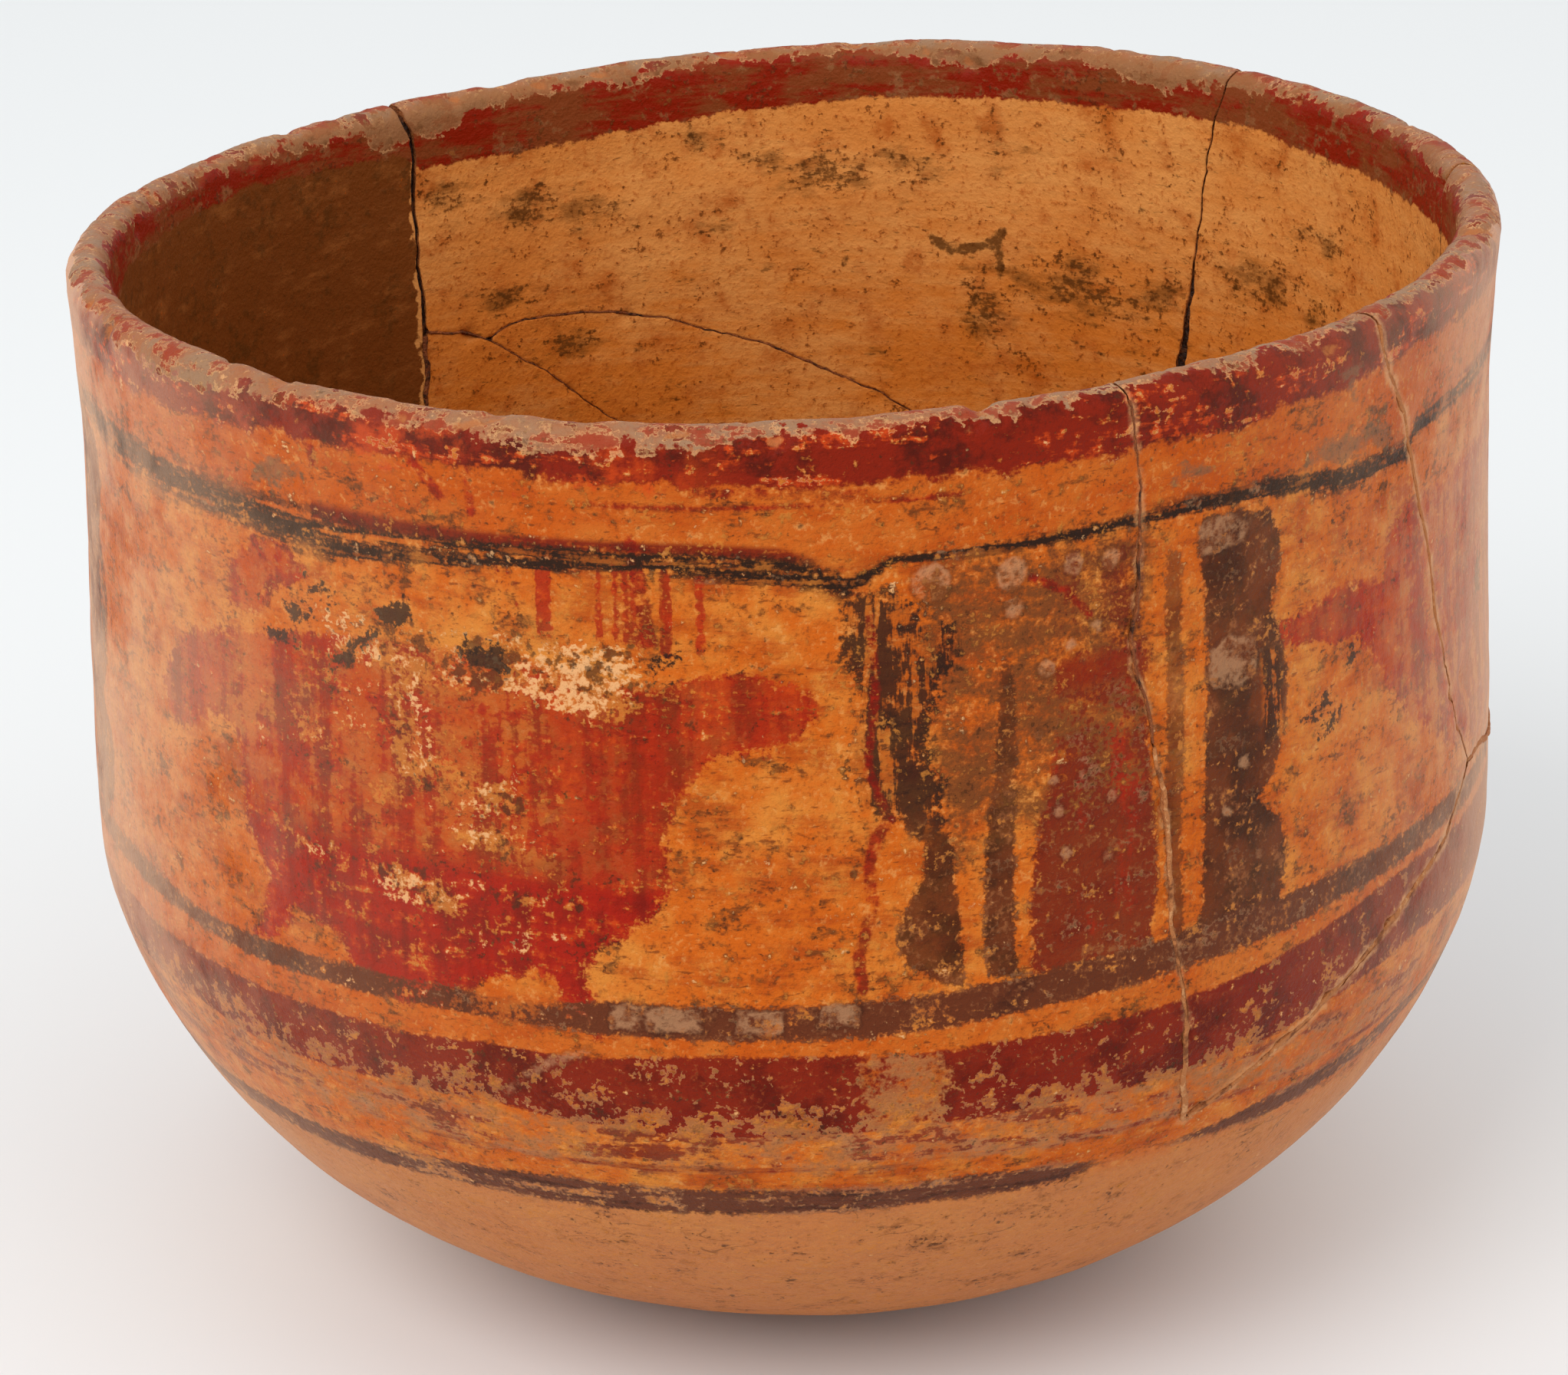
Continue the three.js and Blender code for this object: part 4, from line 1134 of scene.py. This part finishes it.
def figuresOver(base, m, n):
    # The red figures are thin washes: strokes down above, wiped sideways below, worn through.
    ragged = n.mottle * 0.4 + n.fine * 0.5 + n.grit * 0.35
    deeper = (n.brush * 0.5 + n.mottle * 0.6).step(-0.6, 1.2)
    paler = (n.wipe * 0.5 + n.fine * 0.5 - n.brush * 0.3).step(0, 1.5)
    tone = base.plain("red").covered("redDeep", deeper * 0.85).covered("redPale", paler * 0.8)
    tone = tone.covered("redDeep", (n.smudge * 0.6 + n.grit * 0.6).step(0.5, 1.7) * 0.7)
    strokes = (n.brush * 0.8 + n.fine * 0.5 + n.smudge * 0.5).step(-1.3, 0.3)
    gone = (n.wipe * 0.7 + n.grit * 0.5 + n.mottle * 0.3).step(0.6, 1.7) * 0.65
    coat = m.solid.most(strokes * 0.9) * (1 - gone)
    coat = (m.red + ragged + n.wipe * 0.3).step(-0.9, 0.3) * coat
    drawn = (m.strokes + ragged).step(-0.6, 0.5) * (n.stripe + n.fine * 0.5).step(0.1, 1)
    return base.covered(tone, coat.most(drawn * 0.85))


def bandsOver(base, m, n):
    # The maroon band, worn away along its foot, and the rim's band with orange wiped into it.
    ragged = n.fine * 0.2 + n.grit * 0.12 + n.wipe * 0.22
    chips = n.mottle * 0.6 + n.fine * 0.45 + n.grit * 0.3
    tone = base.plain("maroon").covered("maroonDeep", n.dirt.step(-0.4, 1.2))
    tone = tone.covered("maroonPale", (n.grit * 0.7 + n.fine * 0.5).step(0.2, 1.8) * 0.7)
    tone = tone.covered("redDeep", (n.broad * 0.7 + n.wipe * 0.4).step(0.3, 1.3) * 0.7)
    bare = base.covered("wornTan", (n.smudge * 0.5 + n.fine * 0.4 + 0.6).step(0, 1) * 0.85)
    bare = bare.covered("dirt", (n.mottle * 0.6 + n.grit * 0.5).step(0.5, 1.6) * 0.6)
    bare = bare.covered("maroonPale", (n.wipe * 0.7 + n.fine * 0.5).step(0.1, 1.3) * 0.6)
    bare = bare.covered("cream", (n.grit * 0.6 + n.smudge * 0.6).step(0.8, 1.8) * 0.4)
    coat = (m.maroon + ragged).step(-0.35, 0.25)
    worn = chips + (1 - m.height.step(58, 69)) * 1.2
    left = tone.covered(bare, worn.step(0.85, 1.15) * 0.9)
    left = left.covered("cream", worn.near(0.9, 0.15) * 0.25)
    left = left.covered(bare, (m.patchy * 1.8 + chips * 0.7).step(0.7, 1.5) * 0.9)
    # Below it only streaks of the band are left, down to a thin line.
    below = (m.height + n.mottle * 0.5).step(52.6, 53.6) * (1 - m.height.step(60, 62))
    streaks = (n.broad * 0.5 + n.wipe * 0.7 + n.fine * 0.4 + n.smudge * 0.3).step(0.1, 0.7)
    greyer = below * (n.smudge * 0.6 + n.wipe * 0.5).step(-0.3, 1.2)
    base = base.covered(bare, below * 0.8).covered("taupe", greyer * 0.45)
    base = base.covered(tone, below * streaks * 0.8)
    edge = m.height.near(53.8, 0.7) * (n.broad * 0.5 + n.wipe * 0.5).step(-0.6, 0.6)
    base = base.covered(left, coat).covered(tone, edge * 0.75)
    tone = base.plain("rim").covered("rimDeep", (n.dirt * 0.8 + n.fine * 0.3).step(-0.4, 1.1))
    tone = tone.covered("redPale", (n.wipe * 0.8 + n.fine * 0.6).step(0.3, 1.5) * 0.9)
    tone = tone.covered("redPale", m.bleed * (n.broad + n.mottle * 0.8).step(-0.2, 1) * 0.7)
    coat = (m.rim + n.mottle * 0.7 + ragged * 1.4).step(-0.7, 0.4)
    left = tone.flaked(chips * 0.8 + n.wipe * 0.6, 1.05, "clayDeep", 0.8, 0.45)
    runs = (m.rim * 0.22 + n.smudge * 0.8 + n.brush * 0.5).step(0.1, 1.1) * m.bleed
    runs = runs * (m.rim + 6).step(0, 3)
    return base.covered("redPale", runs * 0.75).covered(left, coat)


def panelOver(base, m, n):
    # The panel: a brown wash, the red field that thins upwards, the dark bars, thin red lines.
    ragged = n.fine * 0.32 + n.grit * 0.2 + n.mottle * 0.2
    speckle = n.fine * 0.6 + n.grit * 0.5 + n.mottle * 0.5
    brown = (speckle * 0.5 + n.smudge * 0.6 + 1.1).step(0, 1.6) * 0.92
    base = base.covered("wash", (m.wash + ragged * 2).step(-3, 1) * brown)
    tone = base.plain("field").covered("red", (n.brush * 0.5 + n.dirt * 0.6).step(0.1, 1.2) * 0.8)
    tone = tone.covered("maroonDeep", (n.smudge * 0.6 + n.fine * 0.5).step(0, 1.4) * 0.7)
    tone = tone.covered("barPale", (speckle * 0.8 - n.wipe * 0.5).step(0.1, 1.3) * 0.8)
    strong = 1 - m.height.step(94, 112) * 0.7
    tone = tone.covered("taupe", (n.smudge * 0.7 + n.grit * 0.5 - strong * 0.5).step(0, 1.4) * 0.65)
    coat = (m.field + ragged * 1.2).step(-0.5, 0.3) * (strong * 1.5 - speckle * 0.6).step(0, 1)
    base = base.covered(tone, coat * 0.92)
    upper = (n.brush * 0.6 + speckle * 0.7).step(-0.4, 0.9)
    upper = upper * (m.fieldTop + ragged * 1.5).step(-0.9, 0.5)
    base = base.covered("field", upper * 0.75)
    cross = (2.2 - (m.height - 122.3).calc("ABSOLUTE")).least(m.field + 0.6)
    base = base.covered("rim", (cross + ragged * 2.5).step(-0.8, 1.2) * 0.75)
    tone = base.plain("bar").covered("barDeep", (n.mottle * 0.5 + n.dirt * 0.6).step(-0.7, 1))
    tone = tone.covered("barPale", (speckle - n.dirt * 0.4).step(0.1, 1.5) * 0.8)
    tone = tone.covered("taupe", (n.smudge * 0.7 + n.grit * 0.5).step(0.7, 2) * 0.55)
    inked = (n.streak * 0.9 + n.fine * 0.4 + n.smudge * 0.3).step(-0.7, 0.2)
    inked = inked.most((n.trail + n.fine * 0.6).step(0.8, 1.4) * 0.7)
    tone = tone.covered("black", inked * m.scribble * 0.9)
    coat = m.strength * (1 - (speckle * 0.7 + n.smudge * 0.4).step(0.8, 2) * 0.45)
    coat = coat.least(1 - m.scribble * (1 - inked) * 0.75)
    depth = m.dark * (1 - m.scribble * 0.65) + ragged
    base = base.covered(tone, depth.step(-0.45, 0.25) * coat)
    thinLine = (m.thin + n.fine * 0.16 + n.grit * 0.1).step(-0.35, 0.3)
    tone = base.plain("red").covered("redDeep", (n.wipe * 0.6 + n.fine * 0.5).step(-0.6, 0.8))
    return base.covered(tone, thinLine * (n.smudge * 0.5 + n.fine * 0.3 + 0.9).step(0, 1) * 0.85)


def linesOver(base, m, n):
    # The dark lines: a broad one under the figures, a low one, and a double one under the rim.
    ragged = n.fine * 0.22 + n.grit * 0.14 + n.wipe * 0.2
    speckle = n.fine * 0.5 + n.grit * 0.5 + n.mottle * 0.6
    deeper = (n.dirt * 0.6 + n.mottle * 0.4).step(-0.2, 1.3)
    tone = base.plain("lower").covered("lowerDeep", deeper * 0.9)
    tone = tone.covered("barPale", speckle.step(-0.2, 1.4) * 0.75)
    thinned = (speckle + m.patchy * 1.4 - n.dirt * 0.4).step(0.7, 1.9) * 0.7
    tone = tone.covered("taupe", (n.smudge * 0.7 + n.grit * 0.5).step(0.5, 1.7) * 0.6)
    base = base.covered(tone, (m.lower + ragged * 1.4).step(-0.5, 0.3) * (1 - thinned))
    deeper = (n.trail * 0.7 + n.fine * 0.5).step(-0.2, 1.3)
    tone = base.plain("belt").covered("lowerDeep", deeper * 0.75)
    tone = tone.covered("taupe", (n.wipe * 0.6 + speckle * 0.6).step(0, 1.2) * 0.8)
    thinned = ((speckle * 0.6 + n.wipe * 0.7 + n.smudge * 0.3).step(0.2, 1.4) * 0.75).most(m.patchy)
    base = base.covered(tone, (m.belt + ragged * 1.2).step(-0.5, 0.3) * (1 - thinned))
    # Left of the panel a red line runs just above the dark one, which there is two strands.
    leftOf = 1 - m.across.step(-34, -24)
    glow = m.line.step(0.6, 1) * (1 - m.line.step(1.5, 2.2)) * leftOf
    base = base.covered("redDeep", glow * (n.trail * 0.5 + n.fine * 0.3 + 1.3).step(0, 0.9) * 0.9)
    noisy = n.trail * 0.4 + n.fine * 0.28 + n.grit * 0.15
    strands = 0.55 - ((m.line + n.trail * 0.15).calc("ABSOLUTE") - 0.5).calc("ABSOLUTE")
    core = (1 - m.line.calc("ABSOLUTE")) * (1 - leftOf) + strands * leftOf * 1.2 + noisy
    tone = base.plain("line").covered("taupe", (n.dirt * 0.7 + n.fine * 0.5).step(0.6, 1.6) * 0.6)
    tone = tone.covered("cream", (n.fine * 0.8 + n.grit * 0.5).step(0.9, 1.8) * leftOf * 0.6)
    thinned = (n.trail * 0.7 + speckle * 0.6).step(0.1, 1.2) * 0.8
    base = base.covered("lowerDeep", core.step(-1, 0.3) * 0.35)
    return base.covered(tone, core.step(-0.4, 0.4) * (1 - thinned))


def wearOver(base, m, n):
    # Scraped places with pale specks, faded dots, black marks, filler smears, dirt, and dust with
    # painted sheen on the flanks.
    flakes = m.pale * 1.25 + n.fine * 0.5 + n.grit * 0.4 + n.wipe * 0.35
    base = base.covered("clayPale", (flakes + n.mottle * 0.4).step(0.7, 1.5) * 0.55)
    base = base.covered("cream", (flakes - n.mottle * 0.3 - n.dirt * 0.3).step(1.3, 2.1) * 0.85)
    base = base.covered("fleck", (m.pale - n.fine * 0.6 + n.dirt * 0.5).step(1, 1.7) * 0.75)
    # Faded dots and patches have a thin dark outline.
    spot = m.light + n.fine * 0.25 + n.mottle * 0.15
    base = base.covered("barDeep", spot.near(-0.2, 0.5) * 0.25)
    broken = (0.65 - n.fine * 0.4 - n.smudge * 0.45).step(0, 1)
    base = base.covered("taupe", spot.step(-0.3, 0.4) * broken * 0.62)
    grainy = (n.grit * 0.6 + n.fine * 0.6).step(0.1, 1.3)
    base = base.covered("barPale", spot.step(0, 0.4) * grainy * 0.6)
    grey = m.grey + n.smudge * 1.2 + n.fine * 0.5
    base = base.covered("greyed", grey.step(-0.6, 1.4) * 0.6)
    marks = m.black + n.mottle * 0.8 + n.wipe * 0.4 + n.fine * 0.6 + n.grit * 0.5
    base = base.covered("black", marks.step(0, 1) * 0.9)
    base = base.covered("fleck", (n.grit * 0.75 + n.smudge * 0.65).step(1.1, 2) * 0.7)
    smear = (m.smear + n.mottle * 0.35 + n.fine * 0.25).step(0, 1.2)
    base = base.covered("fillPale", smear * (0.6 - n.smudge * 0.2).step(0, 1) * 0.8)
    # The flanks are paled with dust and a painted sheen.
    grey = (n.broad * 0.2 + n.mottle * 0.15 + 0.75).step(0, 1)
    return base.covered("dust", m.dust * grey)


def innerOf(p, m, n):
    # The inner face: tan clay with dark freckles, a brown stain in the big sherd, a worn rim band.
    base = p.plain("inside")
    paler = (n.broad * 0.6 + n.wipe * 0.5 + n.mottle * 0.3).step(-0.9, 1.5)
    base = base.covered("insidePale", paler * 0.7)
    base = base.covered("insidePale", m.height.step(108, 142) * 0.4)
    base = base.covered("insideDeep", (n.mottle * 0.6 + n.dirt * 0.6).step(-0.2, 1.7) * 0.75)
    speckle = n.fine * 0.65 + n.grit * 0.6
    base = base.covered("insideDeep", speckle.step(0.1, 1.6) * 0.5)
    base = base.covered("freckle", (speckle + n.dirt * 0.5).step(1, 1.9) * 0.6)
    clouds = m.pale * 1.5 + n.smudge * 0.7 - n.wipe * 0.3
    base = base.covered("freckle", clouds.step(0.5, 2.2) * 0.6)
    gathered = m.pale * 1.4 + speckle * 0.6 + n.dashes * 0.5 + n.dirt * 0.4
    base = base.covered("freckle", gathered.step(1, 2) * 0.75)
    base = base.covered("freckle", n.dashes.step(1, 2) * 0.6)
    base = base.covered("freckle", (m.black + n.fine * 0.2 + n.grit * 0.1).step(-0.2, 0.4) * 0.85)
    brown = p.plain("stain").covered("stainPale", (n.wipe * 0.6 + n.mottle * 0.6).step(0, 1.6) * 0.7)
    brown = brown.covered("freckle", (n.dirt * 0.7 + n.fine * 0.5).step(0, 1.4) * 0.7)
    brown = brown.covered("insideDeep", (n.grit * 0.8 + n.mottle * 0.6).step(1.6, 2.3) * 0.7)
    base = base.covered(brown, m.stained)
    edge = (m.nearBreak + n.mottle * 0.7 + n.fine * 0.3).step(0.4, 1)
    base = base.covered("insidePale", (1 - edge) * m.stained * 0.85)
    reddened = n.wipe * 0.6 + n.dirt * 0.4 + n.broad * 0.5
    tone = p.plain("insideRim").covered("insideRed", reddened.step(-0.6, 0.5))
    tone = tone.covered("insideCrust", (n.smudge * 0.8 + n.fine * 0.5).step(0.3, 1.4) * 0.7)
    tone = tone.covered("fleck", (speckle + n.dirt * 0.3).step(0.4, 1.7) * 0.65)
    ragged = n.mottle * 0.3 + n.fine * 0.2 + n.grit * 0.1
    return base.covered(tone, (m.rim + ragged).step(-0.3, 0.3) * (1 - speckle.step(1, 1.8) * 0.5))


def lipOver(base, m, n):
    # The lip's very top: a pale crust, with pink and dark red paint left in patches.
    tone = base.plain("lip").covered("crust", (n.broad * 0.4 + n.dirt * 0.6).step(-0.8, 0.7))
    tone = tone.covered("lipPink", (n.wipe * 0.6 + n.mottle * 0.5).step(-0.1, 1.1) * 0.85)
    tone = tone.flaked(n.mottle * 0.7 + n.wipe * 0.5 + n.fine * 0.3, 0.35, "lipPink", 0.6, 0.6)
    tone = tone.flaked(n.smudge * 0.6 - n.mottle * 0.6 + n.fine * 0.3, 0.7, "rim", 0.8, 0.7)
    tone = tone.covered("cream", (n.fine * 0.6 + n.grit * 0.5 - n.wipe * 0.4).step(0.6, 1.6) * 0.65)
    tone = tone.covered("dirt", (n.grit * 0.6 + n.dirt * 0.6 + n.fine * 0.3).step(0.8, 1.8) * 0.6)
    tone = tone.covered("insideCrust", (m.fromLip * -1 + n.mottle).step(1, 3) * 0.8)
    tone = tone.covered("dirt", (n.smudge * 0.6 + n.fine * 0.6).step(0.3, 1.7) * 0.45)
    ragged = n.mottle * 0.9 + n.smudge * 0.8 + n.fine * 0.4
    lies = m.crust - m.fromLip.calc("ABSOLUTE") + ragged
    base = base.covered("cream", lies.near(-0.1, 0.45) * (n.fine * 0.5 + 0.6).step(0, 1) * 0.55)
    return base.covered(tone, lies.step(-0.15, 0.25))


# The mesh's layers, and what their three numbers are called.
layers = {
    "rimLineLower": "rim line lower", "maroonBeltLip": "maroon belt fromLip",
    "redDarkField": "red dark field", "paleBlackLight": "pale black light",
    "acrossHeightTop": "across height fieldTop", "strokesThinWash": "strokes thin wash",
    "breakStainedLift": "nearBreak stained lift", "strengthScribbleSolid": "strength scribble solid",
    "patchyDustSmear": "patchy dust smear", "crustBleedGrey": "crust bleed grey",
}


def clayMaterial():
    material, shader, p = newMaterial("paintedClay", 0.5, 0.1)
    m = {}
    for name, parts in layers.items():
        m.update(zip(parts.split(), p.parts(name)))
    m = SimpleNamespace(**m)
    n = SimpleNamespace(
        broad=p.grain(30, 2), mottle=p.grain(5.5, 5, 0.62, off=4),
        dirt=p.grain(8, 5, 0.66, off=30), fine=p.grain(1.6, 3, 0.6, off=9),
        grit=p.grain(0.7, 2, 0.6, off=17), wipe=p.grain(4, 5, 0.66, (0.28, 0.28, 1.8), 14),
        streak=p.grain(2.2, 4, 0.6, (1.2, 1.2, 0.15), 21),
        trail=p.grain(2, 3, 0.6, (0.12, 0.12, 1.3), 23),
        stripe=p.grain(1.7, 1, 0.5, (1, 1, 0.03), 25), brush=p.grain(3.4, 3, 0.6, (1, 1, 0.09), 27),
        smudge=p.grain(4, 5, 0.68, (0.6, 0.6, 1.1), 33))
    n.hairs = p.grain(6, 1, 0.5, (0.6, 0.6, 1.3), 40).near(0, 0.12) * n.dirt.step(0.2, 0.9)
    n.dashes = p.grain(0.8, 2, 0.6, (0.4, 0.4, 1.2), 50) * 0.8 + n.smudge * 0.4
    base = groundOf(p, m, n)
    for layer in (figuresOver, bandsOver, panelOver, linesOver, wearOver):
        base = layer(base, m, n)
    ragged = n.mottle * 0.6 + n.fine * 0.35 + n.grit * 0.2
    base = innerOf(p, m, n).covered(base, (m.fromLip + ragged).step(-0.6, 0.6))
    base = lipOver(base, m, n)
    # Worn hollows and the edges of the breaks show the clay itself.
    hollow = (m.lift * -1 + n.fine * 0.12).step(0.62, 0.95)
    base = base.covered("break", hollow * (1 - n.grit.step(0.6, 1.8) * 0.5) * 0.75)
    base = base.covered("breakDark", (1 - (m.nearBreak + n.fine * 0.1).step(-0.05, 0.2)) * 0.4)
    rough = n.mottle * 0.03 + n.fine * 0.02 + 0.52
    relief = n.mottle * 0.05 + n.fine * 0.05 + n.grit * 0.03 + n.wipe * 0.02
    relief = relief * (m.fromLip.step(-2, 1) * 0.5 + 0.5)
    return finish(material, shader, base, rough, relief, 0.001)


def breakMaterial():
    # Broken clay: tan, grainy, dirty in the hollows.
    material, shader, p = newMaterial("brokenClay", 0.9, 0.15)
    grit = p.grain(1.6, 4, 0.7)
    base = p.plain("break").covered("breakDark", p.grain(6, 3, 0.6, off=5).step(-1, 1) * 0.8)
    base = base.covered("clayPale", grit.step(0.5, 1.6) * 0.6)
    return finish(material, shader, base, grit * 0.03 + 0.85, grit * 0.15, 0.001)


def filmMaterial(name, dark, main, pale, roughness):
    # Dried adhesive or filler: one colour, cloudy, with darker and paler bits.
    material, shader, p = newMaterial(name, roughness, 0.3)
    grit = p.grain(1.1, 4, 0.65)
    cloud = p.grain(3.2, 3, 0.6, off=7)
    base = p.plain(main).covered(dark, (cloud + grit * 0.4).step(0, 1.2) * 0.9)
    base = base.covered(pale, (grit * 0.7 - cloud * 0.5).step(0.2, 1.3) * 0.85)
    return finish(material, shader, base, grit * 0.04 + roughness, grit * 0.1 + cloud * 0.05, 0.001)


clay, broken = clayMaterial(), breakMaterial()
filmPaints = {"glue": filmMaterial("driedGlue", "glue", "glue", "gluePale", 0.5),
              "thin": filmMaterial("brownGlue", "glue", "brownGlue", "brownGluePale", 0.7),
              "tan": filmMaterial("tanFiller", "break", "fill", "fillPale", 0.8),
              "fill": filmMaterial("paleFiller", "fillDark", "fill", "fillPale", 0.8)}
print("materials done")
for name, sherd in sherds.items():
    buildSherd(name, sherd, [clay, broken])
for name, film in films.items():
    buildFilm(name, film, filmPaints[film["look"]])
print("bowl built")


# The floor, the camera at the photographed angle, and soft light from the front.
stage = {"floorSize": 8, "floorColour": (0.83, 0.838, 0.832, 1), "world": (0.96, 0.98, 1, 1),
         "worldStrength": 0.9}
view = {"tilt": 20.955, "distance": 0.691, "roll": 0.867, "aim": (-1.23, 0, 83.8),
        "focal": 5869.2, "imageWidth": 2044, "sensor": 36}
lamps = [{"place": (-0.9, -1.3, 1.5), "power": 20, "size": 1.2},
         {"place": (1.1, -0.9, 1.2), "power": 3, "size": 1.4}]

half = stage["floorSize"] / 2
floorMesh = bpy.data.meshes.new("floor")
floorMesh.from_pydata([(-half, -half, 0), (half, -half, 0), (half, half, 0), (-half, half, 0)], [],
                      [(0, 1, 2, 3)])
floor = bpy.data.objects.new("floor", floorMesh)
scene.collection.objects.link(floor)
floorPaint, floorShader, _ = newMaterial("floorPaint", 0.8, 0.2)
floorShader.inputs["Base Color"].default_value = stage["floorColour"]
floorMesh.materials.append(floorPaint)

camera = bpy.data.objects.new("camera", bpy.data.cameras.new("camera"))
scene.collection.objects.link(camera)
scene.camera = camera
tilt = math.radians(view["tilt"])
aim = Vector((np.array(view["aim"]) + shift) / 1000)
camera.location = aim - Vector((0, math.cos(tilt), -math.sin(tilt))) * view["distance"]
turned = Matrix.Rotation(math.pi / 2 - tilt, 3, "X") @ Matrix.Rotation(
    math.radians(-view["roll"]), 3, "Z")
camera.rotation_euler = turned.to_euler()
camera.data.sensor_width = view["sensor"]
camera.data.lens = view["focal"] * view["sensor"] / view["imageWidth"]
camera.data.clip_start = 0.01

world = bpy.data.worlds.new("world")
scene.world = world
world.use_nodes = True
world.node_tree.nodes["Background"].inputs["Color"].default_value = stage["world"]
world.node_tree.nodes["Background"].inputs["Strength"].default_value = stage["worldStrength"]
for spec in lamps:
    lamp = bpy.data.objects.new("lamp", bpy.data.lights.new("lamp", "AREA"))
    lamp.data.energy, lamp.data.size = spec["power"], spec["size"]
    lamp.location = spec["place"]
    lamp.rotation_euler = (aim - lamp.location).to_track_quat("-Z", "Y").to_euler()
    scene.collection.objects.link(lamp)
scene.view_settings.view_transform = "Standard"
print("stage set")
